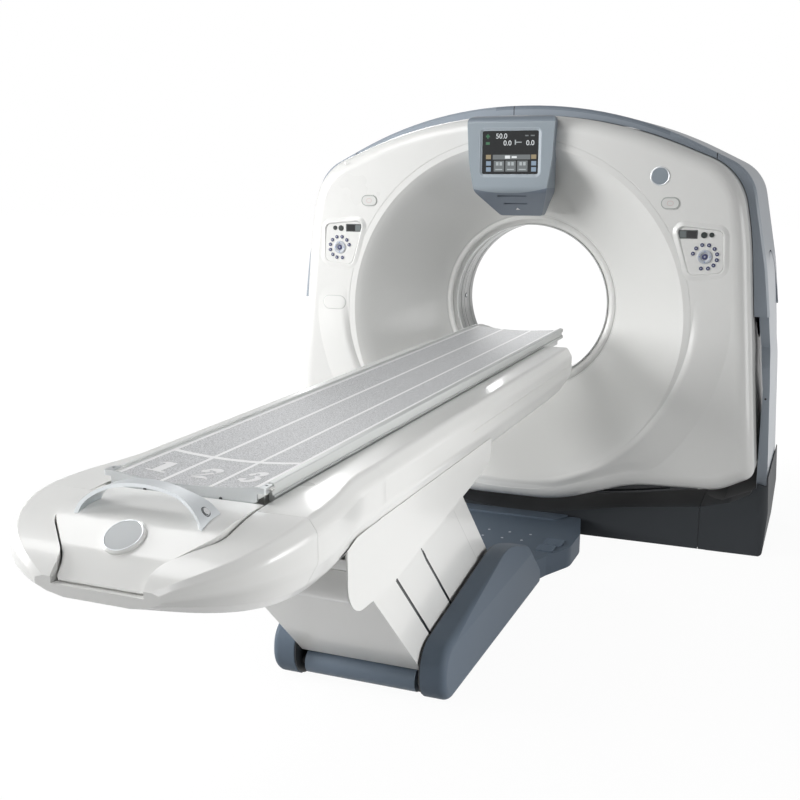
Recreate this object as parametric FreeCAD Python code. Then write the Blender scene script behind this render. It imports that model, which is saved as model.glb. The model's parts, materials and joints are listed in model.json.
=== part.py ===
import FreeCAD, Part
import math
import os

# A tilting CT scanner with its patient table. Millimetres, Z up. The origin is on the floor,
# straight below the isocentre. The table stands towards -Y and its cradle slides in along +Y.

V = FreeCAD.Vector
X_AXIS, Y_AXIS, Z_AXIS = V(1, 0, 0), V(0, 1, 0), V(0, 0, 1)
LEFT, RIGHT = -1, 1

# ---- gantry: driving dimensions -------------------------------------------------------------
ISO_Z = 1024.0              # height of the scan axis, which is also the tilt axis
BORE_R = 356.0              # clear radius of the patient opening
THROAT_HALF = 100.0         # half length of the straight part of the opening
COVER_FRONT = 440.0         # distance of the flat front face from the scan plane
COVER_EDGE_R = 62.0         # rounding between the face and the side of a cover
COVER_WALL = 6.0            # wall of the white covers
COVER_SEAM = 5.0            # half of the gap between the front and the rear cover
FUNNEL_SEAM = 1.0           # gap between a cover and its funnel
TRUNNION_WINDOW_R = 120.0   # hole in the cover sides for the tilt shafts
OUTSIDE = 1200.0            # beyond the sides of the gantry, for tools that cut right across
# Outline of the white covers, right half from the bottom centre: x, z, corner radius.
COVER_OUTLINE = [(225, 190, 650), (545, 297, 560), (905, 309, 170), (1041, 380, 50),
                 (962, 1365, 1500), (913, 1612, 250), (362, 1839, 1720)]
# Outline of the blue-grey band round the covers, and of the side pylons below it.
BAND_OUTLINE = [(1084, 380, 20), (1067, 800, 2500), (1030, 1220, 900), (955, 1609, 190),
                (405, 1883, 1660)]
BAND_HALF = 298.0           # half depth of the band
BAND_WALL = 5.0
BAND_BEVEL = 9.0
BAND_GAP = 3.0              # between the band and the covers inside it
# Funnel from the front face to the opening: radius, distance from the scan plane, centre height.
DISH = [(760, 449, 991), (722, 436, 994), (676, 402, 998), (610, 335, 1003), (500, 222, 1013),
        (412, 135, 1021), (356, 100, 1024)]
LIP_R = 384.0               # low ridge just outside the opening

# ---- gantry: display, key panels and signal windows -----------------------------------------
SCREEN_FACE = -COVER_FRONT - 39.0
SCREEN_HALF, SCREEN_LOW, SCREEN_HIGH = 120.0, 1597.0, 1772.0
# Display housing: right half of its front outline, then its side profile (y, z, radius).
CONSOLE_FRONT = [(92, 1421, 18), (156, 1524, 100), (178, 1650, 300), (189, 1834, 26)]
CHIN_TOP, CHIN_TIP = (-COVER_FRONT - 44, 1530), (-268, 1408)
CONSOLE_SIDE = [CHIN_TOP + (40,), (-COVER_FRONT - 40, 1822, 30), (-COVER_FRONT + 8, 1838, 10),
                (-410, 1840, 0), (-410, 1640, 0), (-300, 1480, 0), (-236, 1412, 0),
                CHIN_TIP + (0,)]
CHIN_SLOTS = [(64, 1507), (52, 1474)]   # half length and height of each slot
PANEL_X, PANEL_Z = 800.0, 1275.0        # centre of the key ring
PANEL_CORNERS = [(742, 1200, 26), (872, 1214, 26), (866, 1376, 26), (684, 1394, 26)]
PANEL_WINDOW = [(691, 1344, 5), (769, 1344, 5), (769, 1380, 5), (691, 1380, 5)]
PANEL_BUTTONS = [(793, 1360, 12.0), (822, 1361, 9.5)]
PANEL_FACE = -COVER_FRONT - 3.0
KEY_RING_R, KEY_R = 48.0, 7.0
KEY_ANGLES = (166, 137, 105, 73, 42, 14, -14, -43, -72, -105)
LIGHT_X, LIGHT_Z = 655.0, 1483.0
LIGHT_SIZE = (74.0, 47.0)
# Dark trays under the front cover: outline and slot of the right one, and their depth.
TRAY = [(372, 223, 10), (560, 247, 500), (735, 278, 300), (885, 300, 10), (880, 330, 0),
        (560, 330, 0), (360, 262, 0)]
TRAY_SLOT = [(410, 236, 3), (560, 255, 300), (700, 279, 3), (700, 287, 3), (560, 264, 300),
             (410, 244, 3)]
TRAY_FRONT, TRAY_REAR, TRAY_SLOT_DEPTH = -338.0, -296.0, 18.0

# ---- gantry: tilt, pylons and base ----------------------------------------------------------
PYLON_TOP_R = 250.0         # round head of a side pylon, about the tilt axis
PYLON_PLAY = 7.0            # gap between that head and the arch that turns round it
PYLON_HALF = 262.0          # half depth of a pylon below its shoulders
PYLON_SHOULDER = 208.0      # distance of the shoulders below the tilt axis
PYLON_FOOT_Z = 150.0
PYLON_INNER = [(1043, 150), (1043, 720), (1011, 1000), (999, 1290)]     # inner face: x, z
SHAFT_R = 55.0              # tilt shaft
BEARING_R = 78.0            # outside radius of its bearing
BASE_FRONT, BASE_REAR = -283.0, 357.0
BASE_SPLIT = 820.0          # seams between the middle and the corner covers
BASE_WALL = 5.0
# Top edge of the base cover, right half: it follows the tilting bottom of the covers.
BASE_TOP = [(60, 89, 500), (230, 106, 700), (483, 155, 900), (820, 197, 0)]
CORNER_TOP = [(945, 229, 60), (1024, 273, 30), (1039, 322, 0)]
# Room that the tilting covers sweep over the corner covers: x, distance from the tilt axis.
SWING_ROOM = [(819, 828), (905, 835), (945, 817), (1024, 783), (1046, 774)]
SKIRT_X, SKIRT_TOP = 1092.0, 352.0
ANCHOR_X, ANCHOR_Y, ANCHOR_R = 930.0, 240.0, 9.0
DRAIN_X, DRAIN_R = (-600, 0, 600), 14.0     # holes under the hollow cross beams

# ---- rotor ----------------------------------------------------------------------------------
ROTOR_R, ROTOR_BORE_R = 768.0, 398.0
DISC_FRONT, DISC_REAR = -40.0, 0.0
RACE_INNER, RACE_SPLIT, RACE_OUTER = 440.0, 472.0, 520.0
RACE_FRONT, RACE_REAR = 6.0, 56.0
BALL_Y = 31.0
FRAME_FRONT, FRAME_REAR = 62.0, 118.0
FRAME_R = 786.0
FOCUS_R = 625.0             # distance of the focal spot from the scan axis
RUN_GAP = 0.3               # between curved faces of parts that turn against each other

# ---- table: the lifting linkage -------------------------------------------------------------
LINK_LENGTH = 900.0
LINK_ANGLE = math.radians(45.0)         # lean of the links at rest, towards the foot end
ALONG = (-math.cos(LINK_ANGLE), math.sin(LINK_ANGLE))       # y, z along a link, upwards
ACROSS = (math.sin(LINK_ANGLE), math.cos(LINK_ANGLE))       # y, z from the front cover to the rear
FRONT_PIVOT = (-1993.0, 60.0)           # y, z of the lower pivots
SLAT_A_PIVOT = (-1768.0, 66.0)
SLAT_B_PIVOT = (-1478.0, 72.0)
REAR_PIVOT = (-1243.0, 80.0)
LEG_HALF = 205.0            # half width over the outermost leg cover
LEG_STEP = 4.0              # each cover runs inside the one before it
LEG_WALL = 3.0

ARM_HALF = 95.0
CROSSBAR_R, CROSSBAR_HALF = 40.0, 188.0
REAR_TUBE_R, TOP_TUBE_HALF = 32.0, 102.0
PIN_R, PIN_FIT = 15.0, 0.05
CHEEK = 5.0                 # thickness of the cheek plates inside the shoes
TABLE_ANCHOR_X, TABLE_ANCHOR_Y = 170.0, (-1660.0, -1060.0)
RUNNER_Z = 868.0            # underside of the cradle runners
OPEN_PIVOT = 0.5            # extra play at the upper pivots of the slats and the rear link
# Lower pivot of each link, and the x range of its pin under the table top.
TOP_PINS = [(FRONT_PIVOT, (72, 118)), (SLAT_A_PIVOT, (112, 201)), (SLAT_B_PIVOT, (112, 197)),
            (REAR_PIVOT, (72, 118))]
# Lower pivot of each link, and where its pin under the table base starts.
PIVOT_PINS = [(FRONT_PIVOT, 150.0), (SLAT_A_PIVOT, 197.0), (SLAT_B_PIVOT, 193.0),
              (REAR_PIVOT, 84.0)]
# Side walls of the slats, along and across their links: t, n, corner radius.
SLAT_A = [(-24, -39, 20), (LINK_LENGTH + 24, -39, 20), (LINK_LENGTH + 24, 24, 20), (830, 60, 40),
          (600, 134, 60), (-70, 134, 30)]
SLAT_B = [(-26, -20, 10), (142, -90, 20), (780, -90, 60), (LINK_LENGTH + 24, -24, 20),
          (LINK_LENGTH + 24, 24, 20), (800, 50, 40), (480, 157, 60), (-60, 157, 30)]
# Shadow grooves along the rear edges of the front leg cover and of the first slats.
GROOVE_DEPTH = 1.6
GROOVE_FRONT = [(-50, 127, 0), (447, 127, 3), (447, 134, 3), (-50, 134, 0)]
GROOVE_A = [(-90, 123, 0), (412, 123, 10), (480, 130, 2), (477, 136, 2), (410, 130, 10),
            (-90, 130, 0)]

# ---- table: floor parts ---------------------------------------------------------------------
SHOE_IN, SHOE_OUT = 209.0, 295.0
SHOE_PROFILE = [(-2066, 4, 90), (-2050, 186, 90), (-1330, 289, 420), (-1090, 215, 150),
                (-925, 70, 40), (-925, 4, 6)]
SHOE_WALL, SHOE_ROUND = 12.0, 24.0
PLATE_FRONT, PLATE_REAR = -1962.0, -945.0
APRON = [(265, -922, 12), (292, -840, 60), (357, -700, 120), (357, -520, 200), (310, -300, 20)]
PEDALS = [(281, -676, 78, 74), (268, -758, 70, 68)]     # centre x, y and size of each tile
PEDAL_TOP, WELL_FLOOR = 94.0, 66.0

# ---- table: top and cradle ------------------------------------------------------------------
TABLE_END = -613.0          # gantry end of the table body
FLARE_START = -2560.0       # from here to the foot end the table widens
BEAK_SEAM = -3000.0         # seam between the body and the foot moulding
NOSE_Y = -3268.0            # foot end
BODY_TOP, BODY_BOTTOM, BODY_HALF = 906.0, 700.0, 318.0
BODY_WALL = 5.0
BODY_SIDE = [(FLARE_START, BODY_BOTTOM - 30, 0), (-800, BODY_BOTTOM - 30, 0), (TABLE_END, 800, 60),
             (TABLE_END, BODY_TOP + 30, 0), (FLARE_START, BODY_TOP + 30, 0)]
# The widening end: y, half width, bottom, top.
FLARE = [(FLARE_START, BODY_HALF, 700, 906), (-2640, BODY_HALF, 700, 906), (-2700, 319, 700, 906),
         (-2800, 334, 703, 906), (-2930, 352, 712, 905), (-3050, 346, 724, 897),
         (-3150, 308, 740, 874), (-3222, 240, 757, 846), (NOSE_Y, 150, 768, 808)]
LINK_MOUTH = (-2705.0, -1345.0)         # opening for the links under the body: y range
TROUGH_FLOOR = 774.0
CRADLE_TIP, CRADLE_FOOT = -208.0, -2953.0
CRADLE_HALF, CRADLE_EDGE_Z, CRADLE_MID_Z = 188.0, 935.7, 885.0
CRADLE_THICK = 24.0
RUNNER_X = 165.0            # the runners under the board ride on the glide pads
MAT_HALF, MAT_EDGE_Z, MAT_MID_Z = 180.0, 934.0, 923.0
GLIDE_Y = (-1180, -700)
FRAME_END, FRAME_START = -2790.0, -800.0
FRAME_LOW, FRAME_HIGH, RAIL_X = 716.0, 768.0, 112.0
CROSS_MEMBERS = (-2786, -1300, -1216, -840)
KNUCKLE_R = 123.0           # round hood over the upper front pivot
SIDE_X = SHOE_OUT + 3.5     # the lower side cover passes outside the shoes

# ---- foot piece and pull handle -------------------------------------------------------------
FOOT_PIECE_END, FOOT_LIP_Z, FOOT_LIP = -3256.0, 797.0, 16.0
FOOT_PIECE_HALF, FOOT_GAP = 205.0, 6.0
# Plan of its rounded end: half widths of the tip and of the first corner, and where they stand.
TIP_HALF, TIP_CORNER, TIP_CORNER_Y, TIP_FULL_Y = 105.0, 113.0, -3222.0, -3130.0
FOOT_SIDE = [(CRADLE_FOOT - 6, 783, 0), (CRADLE_FOOT - 6, 905, 4), (-3110, 903, 160),
             (-3205, 850, 50), (FOOT_PIECE_END, FOOT_LIP_Z + 4, 6), (FOOT_PIECE_END, FOOT_LIP_Z, 0),
             (FOOT_PIECE_END + FOOT_LIP, FOOT_LIP_Z, 0), (FOOT_PIECE_END + FOOT_LIP, 783, 0)]
BOSS_R, BOSS_Y, BOSS_Z = 46.0, -3165.0, 864.0
BOSS_SLOPE = math.atan2(53, 95)         # slope of the foot piece where the boss stands
HANDLE_Y, HANDLE_Z = -3088.0, 884.0     # middle of the arch and the level of its springing
HANDLE_HALF, HANDLE_RISE, HANDLE_THICK = 158.0, 84.0, 8.0
HANDLE_WAIST, HANDLE_FOOT = 19.0, 42.0  # half breadth at the top and at the feet
KEY_TURN = math.radians(25.0)           # place of the release key on the arch
BUTTON_R, BUTTON_FIT = 8.5, 0.6

os.makedirs("parts", exist_ok=True)


# ---- helpers --------------------------------------------------------------------------------
def save(name, *shapes):
    """Write one node: a single solid, or a group of equal solids."""
    shape = shapes[0] if len(shapes) == 1 else Part.makeCompound(list(shapes))
    shape.exportStep("parts/" + name + ".step")


def unit(a, b):
    d = (b[0] - a[0], b[1] - a[1])
    n = math.hypot(*d)
    return d[0] / n, d[1] / n


def inset_corners(corners, inset):
    """Move every side of an anticlockwise polygon inwards and return the new corners."""
    moved = []
    count = len(corners)
    for i, (x, z, r) in enumerate(corners):
        before = unit(corners[i - 1], corners[i])
        after = unit(corners[i], corners[(i + 1) % count])
        cross = before[0] * after[1] - before[1] * after[0]
        cosine = before[0] * after[0] + before[1] * after[1]
        slide = inset * (1 - cosine) / cross if abs(cross) > 1e-6 else 0.0
        px = x - before[1] * inset - before[0] * slide
        pz = z + before[0] * inset - before[1] * slide
        moved.append((px, pz, max(r - inset, 0.0) if cross > 0 else (r + inset if r else 0.0)))
    return moved


def rounded(corners, place, inset=0.0):
    """Closed wire through the corners (u, v, radius), each rounded by a tangent arc."""
    pts = [(c + (0,))[:3] for c in corners]
    area = sum(a[0] * b[1] - b[0] * a[1] for a, b in zip(pts, pts[1:] + pts[:1]))
    if area < 0:
        pts.reverse()
    if inset:
        pts = inset_corners(pts, inset)
    edges = []
    starts = []
    ends = []
    for i, (x, z, r) in enumerate(pts):
        before = unit(pts[i - 1], pts[i])
        after = unit(pts[i], pts[(i + 1) % len(pts)])
        turn = math.acos(max(-1.0, min(1.0, before[0] * after[0] + before[1] * after[1])))
        reach = r * math.tan(turn / 2)
        a = (x - before[0] * reach, z - before[1] * reach)
        b = (x + after[0] * reach, z + after[1] * reach)
        starts.append(a)
        ends.append(b)
        if reach > 1e-6:
            depth = r / math.cos(turn / 2) - r
            bis = unit((0, 0), (after[0] - before[0], after[1] - before[1]))
            mid = (x + bis[0] * depth, z + bis[1] * depth)
            edges.append((i, Part.Arc(place(*a), place(*mid), place(*b)).toShape()))
    ordered = []
    arcs = dict(edges)
    for i in range(len(pts)):
        if i in arcs:
            ordered.append(arcs[i])
        nxt = (i + 1) % len(pts)
        if math.dist(ends[i], starts[nxt]) > 1e-4:
            ordered.append(Part.makeLine(place(*ends[i]), place(*starts[nxt])))
    return Part.Wire(ordered)


def mirror_half(half):
    """Make a closed outline from its right half, listed from the bottom centre up."""
    return half + [(-p[0],) + tuple(p[1:]) for p in reversed(half)]


def slab_y(corners, y0, y1, inset=0.0):
    """Extrude an x-z outline from y0 to y1."""
    wire = rounded(corners, lambda x, z: V(x, y0, z), inset)
    return Part.Face(wire).extrude(V(0, y1 - y0, 0))


def slab_x(corners, x0, x1, inset=0.0):
    """Extrude a y-z outline from x0 to x1."""
    wire = rounded(corners, lambda y, z: V(x0, y, z), inset)
    return Part.Face(wire).extrude(V(x1 - x0, 0, 0))


def slab_z(corners, z0, z1, inset=0.0):
    """Extrude an x-y outline from z0 to z1."""
    wire = rounded(corners, lambda x, y: V(x, y, z0), inset)
    return Part.Face(wire).extrude(V(0, 0, z1 - z0))


def box(x0, x1, y0, y1, z0, z1):
    return Part.makeBox(x1 - x0, y1 - y0, z1 - z0, V(x0, y0, z0))


def rod_x(r, x0, x1, y, z):
    return Part.makeCylinder(r, x1 - x0, V(x0, y, z), X_AXIS)


def rod_y(r, y0, y1, x, z):
    return Part.makeCylinder(r, y1 - y0, V(x, y0, z), Y_AXIS)


def rod_z(r, z0, z1, x, y):
    return Part.makeCylinder(r, z1 - z0, V(x, y, z0), Z_AXIS)


def ring_y(r_in, r_out, y0, y1, z=ISO_Z):
    return rod_y(r_out, y0, y1, 0, z).cut(rod_y(r_in, y0 - 1, y1 + 1, 0, z))


def side_mirror(shape):
    """The same piece on the other side of the object."""
    return shape.mirror(V(0, 0, 0), X_AXIS)


def rear_mirror(shape):
    """The same piece on the other side of the scan plane."""
    return shape.mirror(V(0, 0, 0), Y_AXIS)


# ---- covers of the gantry -------------------------------------------------------------------
def cover_block(inset, seam):
    """Solid of a front cover: the outline pushed forward, its front edge rounded. The hollow
    inside it, which has an inset, is bevelled there, so that the edge of the wall is thicker."""
    face = -(COVER_FRONT - inset)
    block = slab_y(mirror_half(COVER_OUTLINE), -seam, face, inset)
    front_edges = [e for e in block.Edges if max(abs(v.Y - face) for v in e.Vertexes) < 0.01]
    if inset:
        return block.makeChamfer(0.65 * COVER_EDGE_R, front_edges)
    return block.makeFillet(COVER_EDGE_R, front_edges)


def dish_loft(grow, ruled=False):
    """Funnel of the dish: a smooth loft through circles that drift up to the scan axis."""
    wires = []
    for radius, dist, centre in DISH:
        circle = Part.Circle(V(0, -dist + grow, centre), Y_AXIS, radius + grow)
        wires.append(Part.Wire(circle.toShape()))
    return Part.makeLoft(wires, True, ruled)


def lip_ring():
    """Low ridge round the opening, just outside its edge."""
    foot = -THROAT_HALF
    profile = [(LIP_R - 12, foot), (LIP_R - 12, foot - 20), (LIP_R - 5, foot - 24),
               (LIP_R + 5, foot - 24), (LIP_R + 12, foot - 20), (LIP_R + 12, foot)]
    points = [V(r, y, ISO_Z) for r, y in profile]
    face = Part.Face(Part.makePolygon(points + points[:1]))
    return face.revolve(V(0, 0, ISO_Z), Y_AXIS, 360)


def funnel():
    """Moulding of the dish, a thin funnel that ends in the opening, with its ridge."""
    wall = dish_loft(COVER_WALL, True).common(cover_block(0.0, COVER_SEAM))
    wall = wall.cut(dish_loft(0.0)).cut(rod_y(BORE_R, -THROAT_HALF - 20, 0, 0, ISO_Z))
    return wall.fuse(lip_ring().common(dish_loft(1.0)))


def gantry_cover():
    """White cover round the dish, made for the front; the rear one is its mirror image."""
    shell = cover_block(0.0, COVER_SEAM).cut(cover_block(COVER_WALL, COVER_SEAM - 1))
    shell = shell.cut(dish_loft(COVER_WALL + FUNNEL_SEAM, True))
    return shell.cut(rod_x(TRUNNION_WINDOW_R, -OUTSIDE, OUTSIDE, 0, ISO_Z))


def band():
    """Blue-grey arch over the covers. Its ends clear the round pylon heads when it tilts."""
    tall = [(1053, ISO_Z, 0)] + BAND_OUTLINE[2:]
    outer = slab_y(mirror_half(tall), -BAND_HALF, BAND_HALF)
    edges = [e for e in outer.Edges if abs(abs(e.CenterOfMass.y) - BAND_HALF) < 0.01
             and e.CenterOfMass.z > ISO_Z + 1]
    outer = outer.makeChamfer(BAND_BEVEL, edges)
    hollow = slab_y(mirror_half(tall), -BAND_HALF + BAND_WALL, BAND_HALF - BAND_WALL, BAND_WALL)
    covers = slab_y(mirror_half(COVER_OUTLINE), -BAND_HALF - 9, BAND_HALF + 9, -BAND_GAP)
    arch = outer.cut(hollow).cut(covers)
    arch = arch.cut(box(-1100, 1100, -BAND_HALF - 5, BAND_HALF + 5, ISO_Z - 9, ISO_Z + 4))
    return arch.cut(rod_x(PYLON_TOP_R + PYLON_PLAY, -OUTSIDE, OUTSIDE, 0, ISO_Z))


def bore_liner():
    """Tube that lines the opening, with a raised window ring at the scan plane."""
    tube = ring_y(BORE_R - 6, BORE_R - 1, -THROAT_HALF - 6, THROAT_HALF + 6)
    window = ring_y(BORE_R - 1.5, BORE_R + 6, -26, 26)
    grooves = [ring_y(BORE_R - 7, BORE_R - 5, y - 6, y + 6) for y in (-60, 60)]
    tube = tube.fuse(window)
    for groove in grooves:
        tube = tube.cut(groove)
    return tube


def console():
    """Display housing that hangs over the opening: a bowed shield leaning back into the dish."""
    block = slab_y(mirror_half(CONSOLE_FRONT), -250, -COVER_FRONT - 70)
    body = block.common(slab_x(CONSOLE_SIDE, -300, 300)).cut(cover_space())
    body = body.cut(slab_y(screen_outline(0.5), SCREEN_FACE - 40, SCREEN_FACE + 9))
    lean = (CHIN_TIP[0] - CHIN_TOP[0]) / (CHIN_TOP[1] - CHIN_TIP[1])
    for half, z in CHIN_SLOTS:
        y = CHIN_TOP[0] + (CHIN_TOP[1] - z) * lean
        slot = slab_y([(-half, z - 3, 2.5), (half, z - 3, 2.5), (half, z + 3, 2.5),
                       (-half, z + 3, 2.5)], y - 30, y + 14)
        body = body.cut(slot)
    return body


def screen_outline(margin):
    half, low, high = SCREEN_HALF + margin, SCREEN_LOW - margin, SCREEN_HIGH + margin
    return [(-half, low, 8), (half, low, 8), (half, high, 8), (-half, high, 8)]


def display_screen():
    """Flat screen, a little behind the face of its housing."""
    return slab_y(screen_outline(0), SCREEN_FACE, SCREEN_FACE + 8)


def cover_space():
    """Solid space behind the front face and the dish: what hangs on the cover is cut with it."""
    block = slab_y(mirror_half(COVER_OUTLINE), 0, -COVER_FRONT)
    return block.cut(dish_loft(0.0))


def control_panel():
    """Key panel on the right of the front cover: window, ring of keys and a centre dial."""
    plate = slab_y(PANEL_CORNERS, PANEL_FACE, -COVER_FRONT + 12)
    window = slab_y(PANEL_WINDOW, PANEL_FACE - 1, PANEL_FACE + 2)
    plate = plate.cut(window)
    for angle in KEY_ANGLES:
        x = PANEL_X + KEY_RING_R * math.cos(math.radians(angle))
        z = PANEL_Z + KEY_RING_R * math.sin(math.radians(angle))
        plate = plate.fuse(rod_y(KEY_R, PANEL_FACE - 2, PANEL_FACE + 1, x, z))
    plate = plate.fuse(ring_y_at(21, 28, PANEL_FACE - 2.5, PANEL_FACE + 1, PANEL_X, PANEL_Z))
    plate = plate.fuse(rod_y(13, PANEL_FACE - 2, PANEL_FACE + 1, PANEL_X, PANEL_Z))
    for x, z, r in PANEL_BUTTONS:
        plate = plate.cut(rod_y(r + 0.6, PANEL_FACE - 5, -COVER_FRONT + 8, x, z))
    return plate


def ring_y_at(r_in, r_out, y0, y1, x, z):
    return rod_y(r_out, y0, y1, x, z).cut(rod_y(r_in, y0 - 1, y1 + 1, x, z))


def panel_button(x, z, r):
    """Domed push button standing in its hole, with room behind it to travel."""
    cap = rod_y(r, PANEL_FACE - 4.0, PANEL_FACE + 5.0, x, z)
    rim = [e for e in cap.Edges if abs(e.CenterOfMass.y - (PANEL_FACE - 4.0)) < 0.01]
    return cap.makeChamfer(1.5, rim)


def oval(x, z, w, h, y0, y1):
    """Upright-faced oval plate."""
    r = h / 2 - 0.01
    corners = [(x - w / 2, z - h / 2, r), (x + w / 2, z - h / 2, r),
               (x + w / 2, z + h / 2, r), (x - w / 2, z + h / 2, r)]
    return slab_y(corners, y0, y1)


def light_windows():
    """Two oval signal windows, one each side of the display."""
    width, height = LIGHT_SIZE
    window = oval(LIGHT_X, LIGHT_Z, width, height, -COVER_FRONT - 3, -COVER_FRONT + 4)
    return [window, side_mirror(window)]


def lower_tray():
    """Dark air-inlet tray under one side of the front cover, with its long slot."""
    tray = slab_y(TRAY, TRAY_FRONT, TRAY_REAR)
    covers = slab_y(mirror_half(COVER_OUTLINE), -COVER_FRONT, 0, -1.0)
    slot = slab_y(TRAY_SLOT, TRAY_FRONT - 20, TRAY_FRONT + TRAY_SLOT_DEPTH)
    return tray.cut(covers).cut(slot)


# ---- tilt frame, pylons and base ------------------------------------------------------------
def side_section(inset, foot):
    """x-z section of the right pylon, from its foot to the level of the head."""
    corners = [(1084, foot, 0), (1084, 380, 20), (1067, 800, 2500), (1030, 1220, 900),
               (1016, 1290, 0)]
    inner = [(x, max(z, foot), 0) for x, z in reversed(PYLON_INNER)]
    return slab_y(corners + inner, -PYLON_HALF - 20, PYLON_HALF + 20, inset)


def pylon_profile(head, half, shoulder, foot):
    """y-z shape of a pylon: a round head on the tilt axis over a broad foot."""
    head_disc = rod_x(head, 900, 1200, 0, ISO_Z)
    reach = head * math.cos(math.radians(31))
    drop = head * math.sin(math.radians(31))
    low = ISO_Z - shoulder
    legs = [(-half, foot, 0), (half, foot, 0), (half, low, 30), (reach, ISO_Z - drop, 0),
            (-reach, ISO_Z - drop, 0), (-half, low, 30)]
    return head_disc.fuse(slab_x(legs, 900, 1200))


def pylon_cover():
    """Blue-grey cover of the right pylon, open to the inside."""
    outer = side_section(0, PYLON_FOOT_Z).common(
        pylon_profile(PYLON_TOP_R, PYLON_HALF, PYLON_SHOULDER, PYLON_FOOT_Z))
    hollow = side_section(4, PYLON_FOOT_Z - 20).common(
        pylon_profile(PYLON_TOP_R - 4, PYLON_HALF - 4, PYLON_SHOULDER + 3, PYLON_FOOT_Z - 9))
    hollow = hollow.fuse(hollow.translated(V(-12, 0, 0)))
    return outer.cut(hollow)


def gantry_column():
    """Steel plate column inside the right pylon, with the seat of the tilt bearing."""
    plate = side_section(6, 112).common(
        pylon_profile(PYLON_TOP_R - 30, PYLON_HALF - 120, PYLON_SHOULDER + 60, 112))
    seat = rod_x(BEARING_R, 900, 1100, 0, ISO_Z)
    pocket = slab_x([(-120, 300, 40), (120, 300, 40), (90, 760, 40), (-90, 760, 40)], 900, 1100)
    return plate.cut(seat).cut(pocket)


def tilt_bearing():
    outer = rod_x(BEARING_R, 1015, 1035, 0, ISO_Z)
    return outer.cut(rod_x(SHAFT_R + 0.05, 1000, 1060, 0, ISO_Z))


def tilt_frame():
    """Ring frame that carries the bearing and the covers, with an arm and a shaft each side."""
    plate = ring_y(RACE_OUTER - 14, FRAME_R, FRAME_FRONT, FRAME_REAR)
    plate = plate.fuse(ring_y(RACE_OUTER, RACE_OUTER + 26, RACE_FRONT, FRAME_FRONT + 1))
    for side in (LEFT, RIGHT):
        arm = slab_z([(690, FRAME_FRONT, 0), (960, -74, 10), (960, 74, 10), (930, FRAME_REAR, 0),
                      (690, FRAME_REAR, 0)], ISO_Z - 100, ISO_Z + 100)
        arm = arm.cut(rod_y(ROTOR_R + 14, -200, FRAME_FRONT, 0, ISO_Z))
        shaft = rod_x(SHAFT_R, 950, 1034, 0, ISO_Z)
        piece = arm.fuse(shaft)
        plate = plate.fuse(piece if side == RIGHT else side_mirror(piece))
    for k in range(8):
        angle = math.radians(22.5 + 45 * k)
        hole = rod_y(62, 0, 200, 655 * math.cos(angle), ISO_Z + 655 * math.sin(angle))
        plate = plate.cut(hole)
    return plate


def base_profile(half, drop):
    """Front outline of the middle cover: its top edge is low in the middle, under the bore."""
    top = [(x, z - drop, r) for x, z, r in reversed(BASE_TOP[:-1])]
    return mirror_half([(half, 6 - drop, 0), (half, BASE_TOP[-1][1] - drop, 0)] + top)


def base_middle_cover():
    """Charcoal cover across the base, hollow and open below and at both ends."""
    outer = slab_y(base_profile(BASE_SPLIT - 1, 0), BASE_FRONT, BASE_REAR)
    inner = slab_y(base_profile(BASE_SPLIT + 9, BASE_WALL), BASE_FRONT + BASE_WALL,
                   BASE_REAR - BASE_WALL)
    return outer.cut(inner)


def corner_plan(start, inset):
    end = 1100 - inset
    return [(start, BASE_FRONT + inset, 0), (end, BASE_FRONT + inset, 46 - inset),
            (end, BASE_REAR - inset, 46 - inset), (start, BASE_REAR - inset, 0)]


def base_corner_cover():
    """Charcoal corner cover of the right side. It rises outside the foot of the pylon."""
    start = BASE_SPLIT + 1
    profile = ([(start, 6, 0), (1084, 6, 14), (SKIRT_X + 5, 190, 90), (SKIRT_X - 2, SKIRT_TOP, 0),
                (1086.5, SKIRT_TOP, 0), (1085.5, 312, 0)] + CORNER_TOP[::-1]
               + [(start, BASE_TOP[-1][1], 0)])
    outer = slab_y(profile, BASE_FRONT, BASE_REAR).common(slab_z(corner_plan(start, 0), 0, 500))
    hollow = slab_y([(start - 9, -9, 0), (1080, -9, 10), (1084, 210, 90), (1081, 308, 0),
                     (1036, 316, 0), (1019, 268, 0), (945, 223, 0), (start - 9, 191, 0)],
                    BASE_FRONT, BASE_REAR)
    hollow = hollow.common(slab_z(corner_plan(start - 9, BASE_WALL), -20, 500))
    hollow = hollow.cut(swing_room(BASE_WALL))
    mouth = box(1041.5, 1086.4, -PYLON_HALF - 1.5, PYLON_HALF + 1.5, 140, 470)
    return outer.cut(swing_room(0)).cut(hollow).cut(mouth)


def swing_room(grow):
    """Body of revolution about the tilt axis that the tilting covers need over a corner cover."""
    start, end = SWING_ROOM[0][0] - 20, SWING_ROOM[-1][0]
    line = ([(start, 0)] + [(start, SWING_ROOM[0][1] + grow)]
            + [(x, r + grow) for x, r in SWING_ROOM] + [(end, 0)])
    points = [V(x, 0, ISO_Z - r) for x, r in line]
    face = Part.Face(Part.makePolygon(points + points[:1]))
    return face.revolve(V(0, 0, ISO_Z), X_AXIS, 360)


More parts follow.
